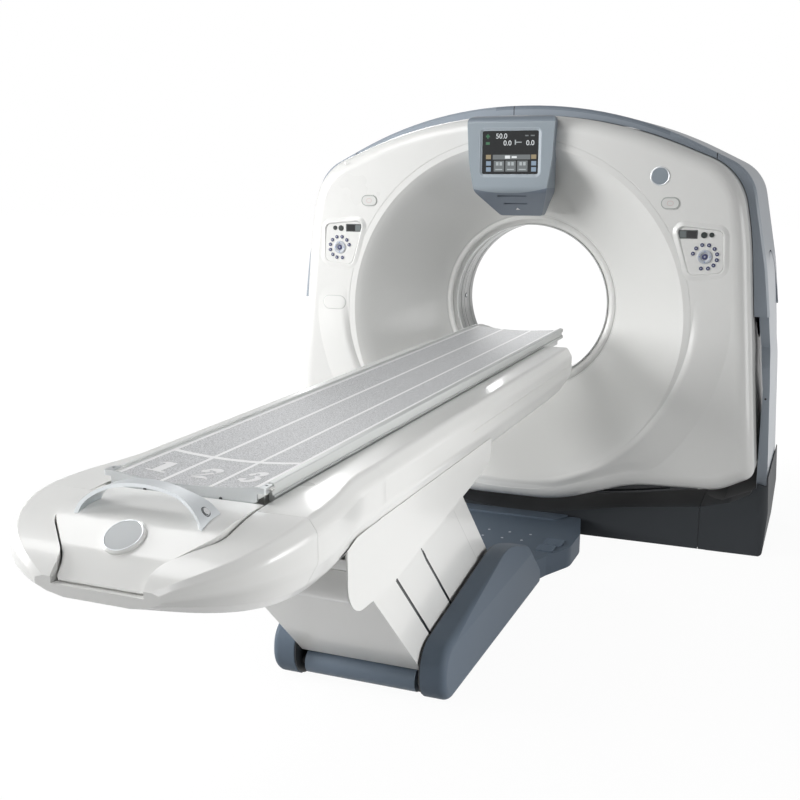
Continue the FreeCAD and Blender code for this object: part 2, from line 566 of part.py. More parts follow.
def gantry_base_frame():
    """Welded steel frame on the floor: two side beams, two cross beams, anchor holes."""
    shape = None
    for side in (LEFT, RIGHT):
        beam = slab_y([(850, 0, 0), (1072, 0, 0), (1072, 106, 0), (850, 106, 0)], -268, 344)
        beam = beam.cut(slab_y([(868, 34, 6), (1012, 34, 6), (1012, 90, 6), (868, 90, 6)], -300, 400))
        beam = beam if side == RIGHT else side_mirror(beam)
        shape = beam if shape is None else shape.fuse(beam)
    for y0, y1 in ((-252, -172), (246, 326)):
        shape = shape.fuse(box(-851, 851, y0, y1, 24, 74))
        shape = shape.cut(box(-840, 840, y0 + 6, y1 - 6, 30, 68))
        for x in DRAIN_X:
            shape = shape.cut(rod_z(DRAIN_R, 20, 40, x, (y0 + y1) / 2))
    for x in (-ANCHOR_X, ANCHOR_X):
        for y in (-ANCHOR_Y, ANCHOR_Y):
            shape = shape.cut(rod_z(ANCHOR_R, -1, 40, x, y))
            shape = shape.cut(rod_z(22, 89, 120, x, y))
    return shape


# ---- rotor ----------------------------------------------------------------------------------
def rotor_drum():
    """Turning disc with its hub, mounting bosses and lightening windows."""
    disc = ring_y(ROTOR_BORE_R, ROTOR_R, DISC_FRONT, DISC_REAR)
    hub = ring_y(ROTOR_BORE_R, RACE_INNER - 0.5, DISC_REAR - 1, RACE_REAR + 24)
    drum = disc.fuse(hub)
    for angle in (45, 135, 225, 315):
        x = 600 * math.cos(math.radians(angle))
        z = ISO_Z + 600 * math.sin(math.radians(angle))
        drum = drum.cut(rod_y(70, DISC_FRONT - 5, DISC_REAR + 5, x, z))
    return drum


def bearing_inner():
    ring = ring_y(RACE_INNER, RACE_SPLIT - 1, RACE_FRONT, RACE_REAR)
    return ring.cut(ring_y(RACE_SPLIT - 7, RACE_SPLIT + 5, BALL_Y - 8, BALL_Y + 8))


def bearing_outer():
    ring = ring_y(RACE_SPLIT - 1 + RUN_GAP, RACE_OUTER - 0.5, RACE_FRONT, RACE_REAR)
    return ring.cut(ring_y(RACE_SPLIT - 5, RACE_SPLIT + 7, BALL_Y - 8, BALL_Y + 8))


def xray_tube():
    """Tube unit at the top of the rotor: a finned round housing with its port box."""
    z = ISO_Z + FOCUS_R
    body = rod_y(105, DISC_FRONT - 160, DISC_FRONT, 0, z)
    for k in range(3):
        y = DISC_FRONT - 60 - 34 * k
        body = body.cut(ring_y_at(92, 110, y, y + 14, 0, z))
    port = box(-70, 70, DISC_FRONT - 140, DISC_FRONT, z - 125, z - 60)
    beam = box(-34, 34, DISC_FRONT - 66, DISC_FRONT - 34, z - 130, z - 112)
    return body.fuse(port).cut(beam)


def generator():
    """High-voltage generator, a ribbed box on the side of the rotor."""
    body = slab_y([(500, ISO_Z - 130, 12), (690, ISO_Z - 130, 12), (690, ISO_Z + 130, 12),
                   (500, ISO_Z + 130, 12)], DISC_FRONT - 150, DISC_FRONT)
    for k in range(5):
        z = ISO_Z - 100 + 44 * k
        body = body.cut(box(520, 670, DISC_FRONT - 151, DISC_FRONT - 140, z, z + 22))
    return body


def detector():
    """Arc of detector modules at the bottom of the rotor, centred on the focal spot."""
    focus = ISO_Z + FOCUS_R
    y0, y1 = DISC_FRONT - 120, DISC_FRONT
    arc = rod_y(1240, y0, y1, 0, focus).cut(rod_y(1130, y0 - 1, y1 + 1, 0, focus))
    fan = slab_y([(0, focus, 0), (-700, focus - 1300, 0), (700, focus - 1300, 0)], y0, y1)
    arc = arc.common(fan).common(rod_y(ROTOR_R - 6, y0, y1, 0, ISO_Z))
    for k in range(-6, 7):
        angle = math.radians(4.0 * k)
        x, z = 1150 * math.sin(angle), focus - 1150 * math.cos(angle)
        slit = box(-3, 3, y0 + 20, y1 - 20, -30, 30)
        slit.rotate(V(0, 0, 0), Y_AXIS, -math.degrees(angle))
        slit.translate(V(x, 0, z))
        arc = arc.cut(slit)
    return arc


def spin_motor():
    """Drive motor of the rotor on the rear of the tilt frame."""
    x, z = 560.0, ISO_Z - 470.0
    body = rod_y(70, FRAME_REAR, FRAME_REAR + 150, x, z)
    for k in range(3):
        body = body.cut(ring_y_at(62, 75, FRAME_REAR + 30 + 36 * k, FRAME_REAR + 48 + 36 * k, x, z))
    return body


# ---- table: links ---------------------------------------------------------------------------
def link_point(pivot, t, n):
    """y, z of a point t along a link and n across it, measured from its lower pivot."""
    return (pivot[0] + t * ALONG[0] + n * ACROSS[0], pivot[1] + t * ALONG[1] + n * ACROSS[1])


def link_slab(pivot, outline, x0, x1):
    """Extrude an outline given along and across a link (t, n, radius) from x0 to x1."""
    corners = [link_point(pivot, t, n) + (r,) for t, n, r in outline]
    return slab_x(corners, x0, x1)


def link_side(pivot, outline, outer):
    """Side walls of a leg cover on both sides, at the given outside half width."""
    wall = link_slab(pivot, outline, outer - LEG_WALL, outer)
    return wall, side_mirror(wall)


def shadow_grooves(walls, pivot, outline, outer):
    """Cut a shallow groove into the outside of each of two side walls."""
    groove = link_slab(pivot, outline, outer - GROOVE_DEPTH, outer + 1)
    return [wall.cut([groove, side_mirror(groove)]) for wall in walls]


def link_arm(pivot, outline, window, tube_r):
    """Box arm with a long window and an eye tube at each end."""
    arm = link_slab(pivot, outline, -ARM_HALF, ARM_HALF)
    arm = arm.cut(link_slab(pivot, window, -ARM_HALF + 30, ARM_HALF - 30))
    for t in (0, LINK_LENGTH):
        y, z = link_point(pivot, t, 0)
        arm = arm.cut(rod_x(tube_r, -ARM_HALF - 1, ARM_HALF + 1, y, z))
    return arm


def eye_tube(pivot, t, r, half):
    """Tube of a link end, bored for the pivot pins."""
    y, z = link_point(pivot, t, 0)
    return rod_x(r, -half, half, y, z).cut(rod_x(PIN_R + PIN_FIT, -half - 1, half + 1, y, z))


def front_arm():
    outline = [(-34, 18, 0), (LINK_LENGTH + 34, 18, 0), (LINK_LENGTH + 34, 40, 10),
               (LINK_LENGTH - 60, 84, 30), (700, 106, 60), (60, 106, 40), (-34, 50, 20)]
    window = [(170, 0, 20), (690, 0, 20), (690, 130, 20), (170, 130, 20)]
    arm = link_arm(FRONT_PIVOT, outline, window, CROSSBAR_R)
    top = eye_tube(FRONT_PIVOT, LINK_LENGTH, CROSSBAR_R, TOP_TUBE_HALF)
    return arm.fuse(top)


def crossbar():
    """Torque tube across the front of the table base: the lower pivot of the front link."""
    return eye_tube(FRONT_PIVOT, 0, CROSSBAR_R, CROSSBAR_HALF)


def rear_arm():
    outline = [(0, -REAR_TUBE_R, 0), (LINK_LENGTH, -REAR_TUBE_R, 0),
               (LINK_LENGTH, REAR_TUBE_R, 0), (0, REAR_TUBE_R, 0)]
    window = [(90, -60, 20), (810, -60, 20), (810, 60, 20), (90, 60, 20)]
    arm = link_arm(REAR_PIVOT, outline, window, REAR_TUBE_R)
    return arm.fuse([eye_tube(REAR_PIVOT, t, REAR_TUBE_R, TOP_TUBE_HALF) for t in (0, LINK_LENGTH)])


def front_leg_cover():
    """White front channel of the leg: a face plate and two side walls."""
    side = [(46, 13, 0), (812, 13, 0), (812, 56, 20), (530, 138, 60), (-30, 138, 20)]
    walls = link_side(FRONT_PIVOT, side, LEG_HALF)
    walls = shadow_grooves(walls, FRONT_PIVOT, GROOVE_FRONT, LEG_HALF)
    face = link_slab(FRONT_PIVOT, [(46, 13, 0), (812, 13, 0), (812, 16, 0), (46, 16, 0)],
                     -LEG_HALF, LEG_HALF)
    return face.fuse(walls)


def leg_slats(pivot, side, step, hole):
    """Pair of flat side slats on their own pins, one on each side of the leg."""
    outer = LEG_HALF - LEG_STEP * step
    slats = []
    for wall in link_side(pivot, side, outer):
        for t in (0, LINK_LENGTH):
            y, z = link_point(pivot, t, 0)
            wall = wall.cut(rod_x(hole, -300, 300, y, z))
        slats.append(wall)
    return slats


def rear_leg_cover():
    """White rear channel of the leg."""
    side = [(-26, -28, 10), (LINK_LENGTH + 20, -28, 10), (LINK_LENGTH + 20, 30, 20),
            (800, 70, 20), (-60, 70, 0)]
    walls = []
    for wall in link_side(REAR_PIVOT, side, LEG_HALF - 3 * LEG_STEP):
        for t in (0, LINK_LENGTH):
            y, z = link_point(REAR_PIVOT, t, 0)
            wall = wall.cut(rod_x(PIN_R + 1.0, -300, 300, y, z))
        walls.append(wall)
    half = LEG_HALF - 3 * LEG_STEP
    face = link_slab(REAR_PIVOT, [(-60, 67, 0), (590, 67, 0), (590, 70, 0), (-60, 70, 0)],
                     -half, half)
    return face.fuse(walls)


# ---- table: base ----------------------------------------------------------------------------
def table_shoe():
    """Blue-grey side shoe of the table base, rounded and bevelled along its outer crest."""
    x0, x1 = SHOE_IN + CHEEK + 0.5, SHOE_OUT
    shoe = slab_x(SHOE_PROFILE, x0, x1)
    crest = [e for e in shoe.Edges if e.BoundBox.XMin > x1 - 1 and e.BoundBox.ZMax > 5]
    shoe = shoe.makeFillet(SHOE_ROUND, crest)
    hollow = slab_x(SHOE_PROFILE, x0 - 1, x1 - SHOE_WALL, SHOE_WALL)
    hollow = hollow.fuse(box(x0 - 1, x1 - SHOE_WALL, -2000, -960, 0, 60))
    bevel = slab_y([(x1 - 26, 330, 0), (x1 + 5, 330, 0), (x1 + 5, 150, 0)], -2100, -900)
    return shoe.cut(bevel).cut(hollow.cut(bevel.translated(V(-SHOE_WALL, 0, 0))))


def table_base_plate():
    """Floor plate with two cheek plates that carry all the lower pivot pins."""
    edge = SHOE_IN + CHEEK
    plate = slab_z([(edge, PLATE_FRONT, 30), (edge, PLATE_REAR, 30), (-edge, PLATE_REAR, 30),
                    (-edge, PLATE_FRONT, 30)], 0, 16)
    for side in (LEFT, RIGHT):
        cheek = slab_x(SHOE_PROFILE, SHOE_IN, SHOE_IN + CHEEK, 3.0)
        plate = plate.fuse(cheek if side == RIGHT else side_mirror(cheek))
        for pivot, reach in PIVOT_PINS:
            pin = rod_x(PIN_R, reach, SHOE_IN + 1, pivot[0], pivot[1])
            plate = plate.fuse(pin if side == RIGHT else side_mirror(pin))
    for x in (-TABLE_ANCHOR_X, TABLE_ANCHOR_X):
        for y in TABLE_ANCHOR_Y:
            plate = plate.cut(rod_z(ANCHOR_R, -1, 30, x, y))
    return plate


def apron_cover():
    """Low floor cover between the table and the gantry, with wells for the foot pedals."""
    outer = slab_z(mirror_half(APRON), 5, 88)
    step = slab_z(mirror_half([(216, -380, 20), (250, -300, 0)]), 80, 96)
    outer = outer.fuse(step)
    hollow = slab_z(mirror_half(APRON), -5, 83, 5)
    cover = outer.cut(hollow)
    for side in (LEFT, RIGHT):
        for x, y, w, d in PEDALS:
            cover = cover.fuse(pedal_well(side * x, y, w / 2 + 3, d / 2 + 3, WELL_FLOOR, 86))
            cover = cover.cut(pedal_well(side * x, y, w / 2 + 1, d / 2 + 1, WELL_FLOOR + 3, 120))
    return cover


def pedal_well(x, y, half_w, half_d, z0, z1):
    return box(x - half_w, x + half_w, y - half_d, y + half_d, z0, z1)


def pedal(x, y, w, d):
    """Foot switch tile with a ribbed top, standing in its well."""
    tile = slab_z([(x - w / 2, y - d / 2, 8), (x + w / 2, y - d / 2, 8),
                   (x + w / 2, y + d / 2, 8), (x - w / 2, y + d / 2, 8)], 76, PEDAL_TOP)
    for k in range(4):
        y0 = y - d / 2 + 12 + 14 * k
        tile = tile.cut(box(x - w / 2 + 8, x + w / 2 - 8, y0, y0 + 5, PEDAL_TOP - 2, PEDAL_TOP + 1))
    return tile


# ---- table: top -----------------------------------------------------------------------------
def top_section(half, low, high):
    """Right half of a cross-section of the table top: bevelled below, rounded above."""
    tall = high - low
    size = tall / (BODY_TOP - BODY_BOTTOM)
    return [(half - 70, low, 20 * size), (half - 28, low + 0.2 * tall, 40 * size),
            (half, low + 0.485 * tall, 40 * size), (half, low + 0.835 * tall, 36 * size),
            (half - 20, low + tall, 16 * size)]


def flare_loft(inset, ruled=False):
    """The end that widens and then closes to the nose: a loft through cross-sections."""
    wires = []
    for y, half, low, high in FLARE:
        section = mirror_half(top_section(half - inset, low + inset, high - inset))
        level = y + inset if y == NOSE_Y else y
        wires.append(rounded(section, lambda x, z, level=level: V(x, level, z)))
    return Part.makeLoft(wires, True, ruled)


def straight_top(inset):
    """The straight length of the table top, with its slanted end under the opening."""
    section = mirror_half(top_section(BODY_HALF - inset, BODY_BOTTOM + inset, BODY_TOP - inset))
    block = slab_y(section, FLARE_START, TABLE_END)
    return block.common(slab_x(BODY_SIDE, -400, 400, max(inset, 0.0)).fuse(
        box(-400, 400, FLARE_START, FLARE_START + 50, 600, 1000)))


def end_pocket(margin, front, z0, z1):
    """Block with the plan of the foot piece and of the channel behind it, grown by a margin."""
    half = FOOT_PIECE_HALF + margin
    return slab_z(mirror_half([(TIP_HALF + margin, front, 10), (TIP_CORNER + margin, TIP_CORNER_Y, 50),
                               (half, TIP_FULL_Y, 60), (half, TABLE_END + 20, 0)]), z0, z1)


def lip_notch(margin):
    """Notch in the rim of the nose, where the lip of the foot piece lies over it."""
    half = TIP_HALF + FOOT_GAP + margin
    end = FOOT_PIECE_END + FOOT_LIP
    return box(-half, half, NOSE_Y - 20, end + margin, FOOT_LIP_Z - FOOT_GAP + 2 - margin, 1000)


def table_top():
    """The whole white table top with its channel, before it is divided at the seam."""
    front = FOOT_PIECE_END + FOOT_LIP - FOOT_GAP
    hollow = straight_top(BODY_WALL).fuse(flare_loft(BODY_WALL, True))
    hollow = hollow.cut(end_pocket(FOOT_GAP + BODY_WALL, front - BODY_WALL, TROUGH_FLOOR, 1000))
    hollow = hollow.cut(lip_notch(BODY_WALL))
    shell = straight_top(0).fuse(flare_loft(0)).cut(hollow)
    return shell.cut(end_pocket(FOOT_GAP, front, TROUGH_FLOOR + BODY_WALL, 1000)).cut(lip_notch(0))


def table_body_cover(top):
    """White body of the table, hollow, open below for the lifting links."""
    cover = top.cut(box(-400, 400, NOSE_Y - 20, BEAK_SEAM + 0.5, 600, 1000))
    mouth = box(-LEG_HALF - 3, LEG_HALF + 3, *LINK_MOUTH, BODY_BOTTOM - 5, BODY_BOTTOM + 9)
    groove = slab_y([(316.5, 838, 0), (330, 834, 0), (330, 846, 0), (316.5, 842, 0)],
                    -1900, TABLE_END + 1)
    return cover.cut([mouth, groove, side_mirror(groove)]).fuse(glide_pads())


def foot_beak(top):
    """White moulding round the foot end of the table."""
    return top.cut(box(-400, 400, BEAK_SEAM - 0.5, 0, 600, 1000))


def table_frame():
    """Steel ladder of flat bars inside the body, carrying the pins of the upper pivots."""
    shape = None
    for side in (LEFT, RIGHT):
        rail = box(RAIL_X, RAIL_X + 12, FRAME_END, FRAME_START, FRAME_LOW, FRAME_HIGH)
        for pivot, reach in TOP_PINS:
            y, z = link_point(pivot, LINK_LENGTH, 0)
            lug = slab_x([(y - 26, FRAME_LOW + 6, 0), (y - 24, z - 24, 20), (y + 24, z - 24, 20),
                          (y + 26, FRAME_LOW + 6, 0)], RAIL_X, RAIL_X + 12)
            pin = rod_x(PIN_R - (0 if pivot is FRONT_PIVOT else OPEN_PIVOT), *reach, y, z)
            rail = rail.fuse([lug, pin])
        rail = rail if side == RIGHT else side_mirror(rail)
        shape = rail if shape is None else shape.fuse(rail)
    bars = [box(-230, 230, y, y + 12, FRAME_LOW, FRAME_HIGH) for y in CROSS_MEMBERS]
    return shape.fuse(bars)


def glide_pads():
    """Four slide pads on the floor of the trough, under the runners of the cradle."""
    pads = []
    for y in GLIDE_Y:
        for x in (-RUNNER_X, RUNNER_X):
            pads.append(box(x - 13, x + 13, y - 60, y + 60, TROUGH_FLOOR + 4, RUNNER_Z - 0.4))
    return pads


def knuckle_cover():
    """Lower side cover of the table: two walls that pass outside the shoes when the table goes
    down, joined at the foot end by a round hood over the upper pivot."""
    top_y, top_z = link_point(FRONT_PIVOT, LINK_LENGTH, 0)
    front = top_y - KNUCKLE_R
    x = SIDE_X
    section = [(x, 530, 0), (x + 5, 530, 0), (x + 5, 764, 0), (212, 764, 0), (212, 694.5, 0),
               (250.5, 694.5, 0), (x, 744, 0)]
    profile = [(-1652, 790, 0), (-1652, 684, 60), (-2500, 566, 300), (front, 572, 90),
               (front, 790, 0)]
    side = slab_y(section, front - 50, -1600).common(slab_x(profile, 200, 320))
    side = side.cut([straight_top(-1.0), flare_loft(-2.5, True)])
    hood = rod_x(KNUCKLE_R, -x - 1, x + 1, top_y, top_z)
    hood = hood.cut(rod_x(KNUCKLE_R - 5, -x - 2, x + 2, top_y, top_z))
    keep = [(top_y - 140, 694.5, 0), (top_y - 140, 560, 0), (top_y + 62, 560, 0),
            (top_y, top_z, 0), (top_y, 694.5, 0)]
    hood = hood.common(slab_x(keep, -320, 320))
    return side.fuse([side_mirror(side), hood])


def drive_unit():
    """Sealed drive of the cradle: motor, gearbox and friction wheel housing."""
    body = box(-70, 70, -1160, -1010, 706.5, 764)
    motor = rod_y(26, -1012, -860, 0, 738)
    return body.fuse(motor)


# ---- cradle ---------------------------------------------------------------------------------
def dished_plate(half, top, low, y0, y1):
    """Plate pushed along the table between two arcs, each given by its middle and edge height."""
    (top_mid, top_edge), (low_mid, low_edge) = top, low
    upper = Part.Arc(V(-half, y0, top_edge), V(0, y0, top_mid), V(half, y0, top_edge)).toShape()
    lower = Part.Arc(V(half, y0, low_edge), V(0, y0, low_mid), V(-half, y0, low_edge)).toShape()
    right = Part.makeLine(V(half, y0, top_edge), V(half, y0, low_edge))
    left = Part.makeLine(V(-half, y0, low_edge), V(-half, y0, top_edge))
    return Part.Face(Part.Wire([upper, right, lower, left])).extrude(V(0, y1 - y0, 0))


def cradle_height(x):
    """Height of the dished face of the cradle at a distance from its middle."""
    dip = CRADLE_EDGE_Z - CRADLE_MID_Z
    radius = (CRADLE_HALF ** 2 + dip ** 2) / (2 * dip)
    return CRADLE_MID_Z + radius - math.sqrt(radius ** 2 - x ** 2)


def cradle_board():
    """Dished carrying board with two runners below it."""
    low = (CRADLE_MID_Z - CRADLE_THICK, CRADLE_EDGE_Z - CRADLE_THICK)
    board = dished_plate(CRADLE_HALF, (CRADLE_MID_Z, CRADLE_EDGE_Z), low, CRADLE_FOOT, CRADLE_TIP)
    plan = slab_z([(CRADLE_HALF, CRADLE_FOOT, 0), (CRADLE_HALF, CRADLE_TIP, 70),
                   (-CRADLE_HALF, CRADLE_TIP, 70), (-CRADLE_HALF, CRADLE_FOOT, 0)], 800, 1000)
    board = board.common(plan)
    below = dished_plate(CRADLE_HALF + 8, (CRADLE_MID_Z - 4, CRADLE_EDGE_Z + 0.5), (600, 600.1),
                         CRADLE_FOOT, CRADLE_TIP)
    for x in (-RUNNER_X, RUNNER_X):
        runner = box(x - 15, x + 15, CRADLE_FOOT + 40, -300, RUNNER_Z, 915)
        board = board.fuse(runner.common(below))
    return board


def mat():
    """Foam mat that fills the hollow of the cradle, with a slightly dished top."""
    rest = (CRADLE_MID_Z + 0.2, cradle_height(MAT_HALF) + 0.2)
    return dished_plate(MAT_HALF, (MAT_MID_Z, MAT_EDGE_Z), rest, CRADLE_FOOT + 4,
                        CRADLE_TIP - 110)


def cradle_rail():
    """Accessory rail along the right edge of the cradle, T-shaped with a groove."""
    x0 = CRADLE_HALF + 0.2
    section = [(x0, 896, 0), (x0 + 14, 896, 2), (x0 + 14, 908, 0), (x0 + 9, 910, 0),
               (x0 + 9, 922, 0), (x0 + 14, 924, 0), (x0 + 14, 937, 3), (x0, 939, 0)]
    return slab_y(section, CRADLE_FOOT + 46, CRADLE_TIP - 90)


def end_bracket():
    """Metal strip across the foot end of the cradle with a turned-out tab at each side."""
    strip = dished_plate(CRADLE_HALF, (MAT_MID_Z + 3, CRADLE_EDGE_Z + 4), (857, 907.7),
                         CRADLE_FOOT - 5, CRADLE_FOOT - 0.2)
    tab = slab_z([(184, CRADLE_FOOT - 5, 0), (207, CRADLE_FOOT - 5, 4), (207, CRADLE_FOOT + 34, 8),
                  (189, CRADLE_FOOT + 34, 0), (189, CRADLE_FOOT - 0.2, 0),
                  (184, CRADLE_FOOT - 0.2, 0)], 926, 939)
    bracket = strip.fuse([tab, side_mirror(tab)])
    for side in (LEFT, RIGHT):
        bracket = bracket.cut(rod_z(4, 900, 960, side * 198, CRADLE_FOOT + 20))
    return bracket


def foot_block():
    """Outside of the foot piece: its side profile in the plan of the pocket."""
    return slab_x(FOOT_SIDE, -260, 260).common(end_pocket(0, FOOT_PIECE_END, 700, 1000))


def foot_piece():
    """White end piece of the cradle, carried in the trough, with a round boss on its slope."""
    hollow = slab_x(FOOT_SIDE, -260, 260, 6).common(
        end_pocket(-6, FOOT_PIECE_END + FOOT_LIP + 6, 700, 1000))
    floor = box(-160, 160, -3180, -2980, 770, 800)
    shell = foot_block().cut(hollow).cut(floor)
    upright = V(0, -math.sin(BOSS_SLOPE), math.cos(BOSS_SLOPE))
    boss = Part.makeCylinder(BOSS_R, 16, V(0, BOSS_Y, BOSS_Z), upright)
    rim = max((e for e in boss.Edges if e.isClosed()), key=lambda e: e.CenterOfMass.z)
    return shell.fuse(boss.makeChamfer(3, [rim]).cut(hollow))


def half_ellipse_y(half, rise, y0, y1):
    """Upright half disc of elliptical outline, standing at the springing of the handle."""
    ellipse = Part.Ellipse(V(0, y0, HANDLE_Z), half, rise)
    ellipse.Axis = V(0, -1, 0)
    ellipse.XAxis = X_AXIS
    disc = Part.Face(Part.Wire(ellipse.toShape())).extrude(V(0, y1 - y0, 0))
    return disc.common(box(-half - 9, half + 9, y0, y1, HANDLE_Z, HANDLE_Z + rise + 9))


def pull_handle():
    """Arched ribbon handle, broad at its two feet, with a round release key on its right side."""
    y0, y1 = HANDLE_Y - HANDLE_FOOT, HANDLE_Y + HANDLE_FOOT
    arch = half_ellipse_y(HANDLE_HALF, HANDLE_RISE, y0, y1).cut(
        half_ellipse_y(HANDLE_HALF - HANDLE_THICK, HANDLE_RISE - HANDLE_THICK, y0 - 1, y1 + 1))
    near, far = HANDLE_HALF - 66, HANDLE_HALF + 6
    plan = [(near, HANDLE_Y - HANDLE_WAIST, 90), (far, y0, 0), (far, y1, 0),
            (near, HANDLE_Y + HANDLE_WAIST, 90)]
    arch = arch.common(slab_z(mirror_half(plan), HANDLE_Z, HANDLE_Z + HANDLE_RISE + 9))
    arch = arch.cut(foot_block().translated(V(0, 0, 0.3)))
    x, z = HANDLE_HALF * math.cos(KEY_TURN), HANDLE_Z + HANDLE_RISE * math.sin(KEY_TURN)
    normal = V(math.cos(KEY_TURN) / HANDLE_HALF, 0, math.sin(KEY_TURN) / HANDLE_RISE)
    normal.normalize()
    place = V(x, HANDLE_Y, z)
    key = Part.makeCylinder(BUTTON_R, 8.5, place - normal * 6, normal)
    hole = Part.makeCylinder(BUTTON_R + BUTTON_FIT, 40, place - normal * 20, normal)
    return arch.cut(hole), key


# ---- build every node -----------------------------------------------------------------------
front_cover = gantry_cover()
rear_cover = rear_mirror(front_cover)
panel = control_panel()
recess = slab_y(PANEL_CORNERS, -COVER_FRONT - 40, -COVER_FRONT + 40, -0.5)
front_cover = front_cover.cut([recess, side_mirror(recess)])
light_hole = oval(LIGHT_X, LIGHT_Z, LIGHT_SIZE[0] + 1, LIGHT_SIZE[1] + 1,
                  -COVER_FRONT - 40, -COVER_FRONT + 40)
front_cover = front_cover.cut([light_hole, side_mirror(light_hole)])

save("front_cover", front_cover)
save("rear_cover", rear_cover)
save("front_funnel", funnel())
save("rear_funnel", rear_mirror(funnel()))
save("top_band", band())
save("bore_liner", bore_liner())
save("display_console", console())
save("display_screen", display_screen())
save("light_windows", *light_windows())
save("panel_right", panel)
save("panel_left", side_mirror(panel))
for side, word in ((RIGHT, "right"), (LEFT, "left")):
    for number, (x, z, r) in enumerate(PANEL_BUTTONS):
        save("panel_button_%s_%d" % (word, number + 1), panel_button(side * x, z, r))
save("lower_trays", lower_tray(), side_mirror(lower_tray()))
save("tilt_frame", tilt_frame())
save("bearing_outer_ring", bearing_outer())
save("spin_motor", spin_motor())

save("rotor_drum", rotor_drum())
save("bearing_inner_ring", bearing_inner())
save("xray_tube", xray_tube())
save("high_voltage_generator", generator())
save("detector_arc", detector())

save("gantry_base_frame", gantry_base_frame())
save("base_middle_cover", base_middle_cover())
for side, word in ((RIGHT, "right"), (LEFT, "left")):
    for name, make in (("base_corner_cover", base_corner_cover), ("pylon_cover", pylon_cover),
                       ("gantry_column", gantry_column), ("table_shoe", table_shoe)):
        piece = make()
        save("%s_%s" % (name, word), piece if side == RIGHT else side_mirror(piece))

save("tilt_bearings", tilt_bearing(), side_mirror(tilt_bearing()))
save("table_base_plate", table_base_plate())
save("apron_cover", apron_cover())
for side, word in ((RIGHT, "right"), (LEFT, "left")):
    for number, (x, y, w, d) in enumerate(PEDALS):
        save("pedal_%s_%d" % (word, number + 1), pedal(side * x, y, w, d))

save("crossbar", crossbar())
save("lift_arm_front", front_arm())
save("leg_cover_front", front_leg_cover())
slats_a = leg_slats(SLAT_A_PIVOT, SLAT_A, 1, PIN_R + 0.3)
save("leg_slats_a", *shadow_grooves(slats_a, SLAT_A_PIVOT, GROOVE_A, LEG_HALF - LEG_STEP))
save("leg_slats_b", *leg_slats(SLAT_B_PIVOT, SLAT_B, 2, PIN_R + 0.3))
save("lift_arm_rear", rear_arm())
save("leg_cover_rear", rear_leg_cover())

save("table_frame", table_frame())
white_top = table_top()
save("table_body_cover", table_body_cover(white_top))
save("foot_beak", foot_beak(white_top))
save("knuckle_cover", knuckle_cover())
save("cradle_drive_unit", drive_unit())

save("cradle_board", cradle_board())
save("cradle_rails", cradle_rail(), side_mirror(cradle_rail()))
save("cradle_mat", mat())
save("end_bracket", end_bracket())
save("foot_piece", foot_piece())
handle, key = pull_handle()
save("pull_handle", handle)
save("handle_button", key)
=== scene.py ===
"""Looks of a tilting CT scanner and its patient table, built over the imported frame.

Everything is in metres in the frame of the part: X right, Y from the table into the gantry, Z up.
The painted shells, frames and links are the frame's own nodes. This script gives them their
finishes and adds what is too fine for the solids: print, keys, dials, digits and screws, and three
shallow forms of the front cover.
"""
import json
import math

import bpy
import numpy as np
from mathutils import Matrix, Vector


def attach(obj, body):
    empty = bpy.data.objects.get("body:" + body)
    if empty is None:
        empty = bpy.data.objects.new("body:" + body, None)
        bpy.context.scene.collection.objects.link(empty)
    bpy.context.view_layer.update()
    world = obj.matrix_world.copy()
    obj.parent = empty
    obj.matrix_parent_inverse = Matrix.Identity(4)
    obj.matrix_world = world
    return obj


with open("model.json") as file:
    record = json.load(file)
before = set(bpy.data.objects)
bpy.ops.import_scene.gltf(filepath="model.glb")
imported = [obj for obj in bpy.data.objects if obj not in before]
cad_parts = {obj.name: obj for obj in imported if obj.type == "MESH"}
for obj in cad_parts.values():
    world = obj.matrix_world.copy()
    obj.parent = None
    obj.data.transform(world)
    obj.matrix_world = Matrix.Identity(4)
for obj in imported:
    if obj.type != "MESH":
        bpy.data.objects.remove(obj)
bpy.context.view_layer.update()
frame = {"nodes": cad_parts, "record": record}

# ---- places on the machine, as the frame has them ---------------------------------------------
FACE_Y = -0.440                  # flat front face of the gantry cover
SWELL_Z = 1.040                  # height of the centre of the low swelling round the dish
SWELL_R = (0.764, 0.922)         # its inner and outer radius
SWELL_RISE = 0.0140              # its greatest rise
SWELL_FADE_Z, SWELL_FADE_EDGE = (1.14, 0.86), 0.120     # where it fades in, from above and below
EDGE_ROUND = 0.062               # rounding of the edge of that face
LOW_EDGE_X = (0.225, 0.545, 0.905, 1.041)   # lower edge of that face: x and z of its corners
LOW_EDGE_Z = (0.190, 0.297, 0.309, 0.380)
PANEL_FACE_Y = -0.443            # face of the two key panels
PANEL_X, PANEL_Z = 0.800, 1.275  # centre of the ring of keys
PANEL_CORNERS = [(0.742, 1.200), (0.872, 1.214), (0.866, 1.376), (0.684, 1.394)]
HOOD_CORNER, HOOD_LOW, HOOD_HIGH = 0.022, 0.0025, 0.0085    # their rims: corner radius, heights
HOOD_LOW_Z, HOOD_HIGH_Z = 1.22, 1.38                        # where those heights are reached
# Edge of the oval cap: distance outside its outline, height over the face.
CAP_RIM = [(0.0008, -0.0004), (0.0, 0.0004), (-0.0010, 0.0009), (-0.0030, 0.0010),
           (-0.0120, 0.0010), (-0.0210, 0.0010), (-0.0299, 0.0010)]
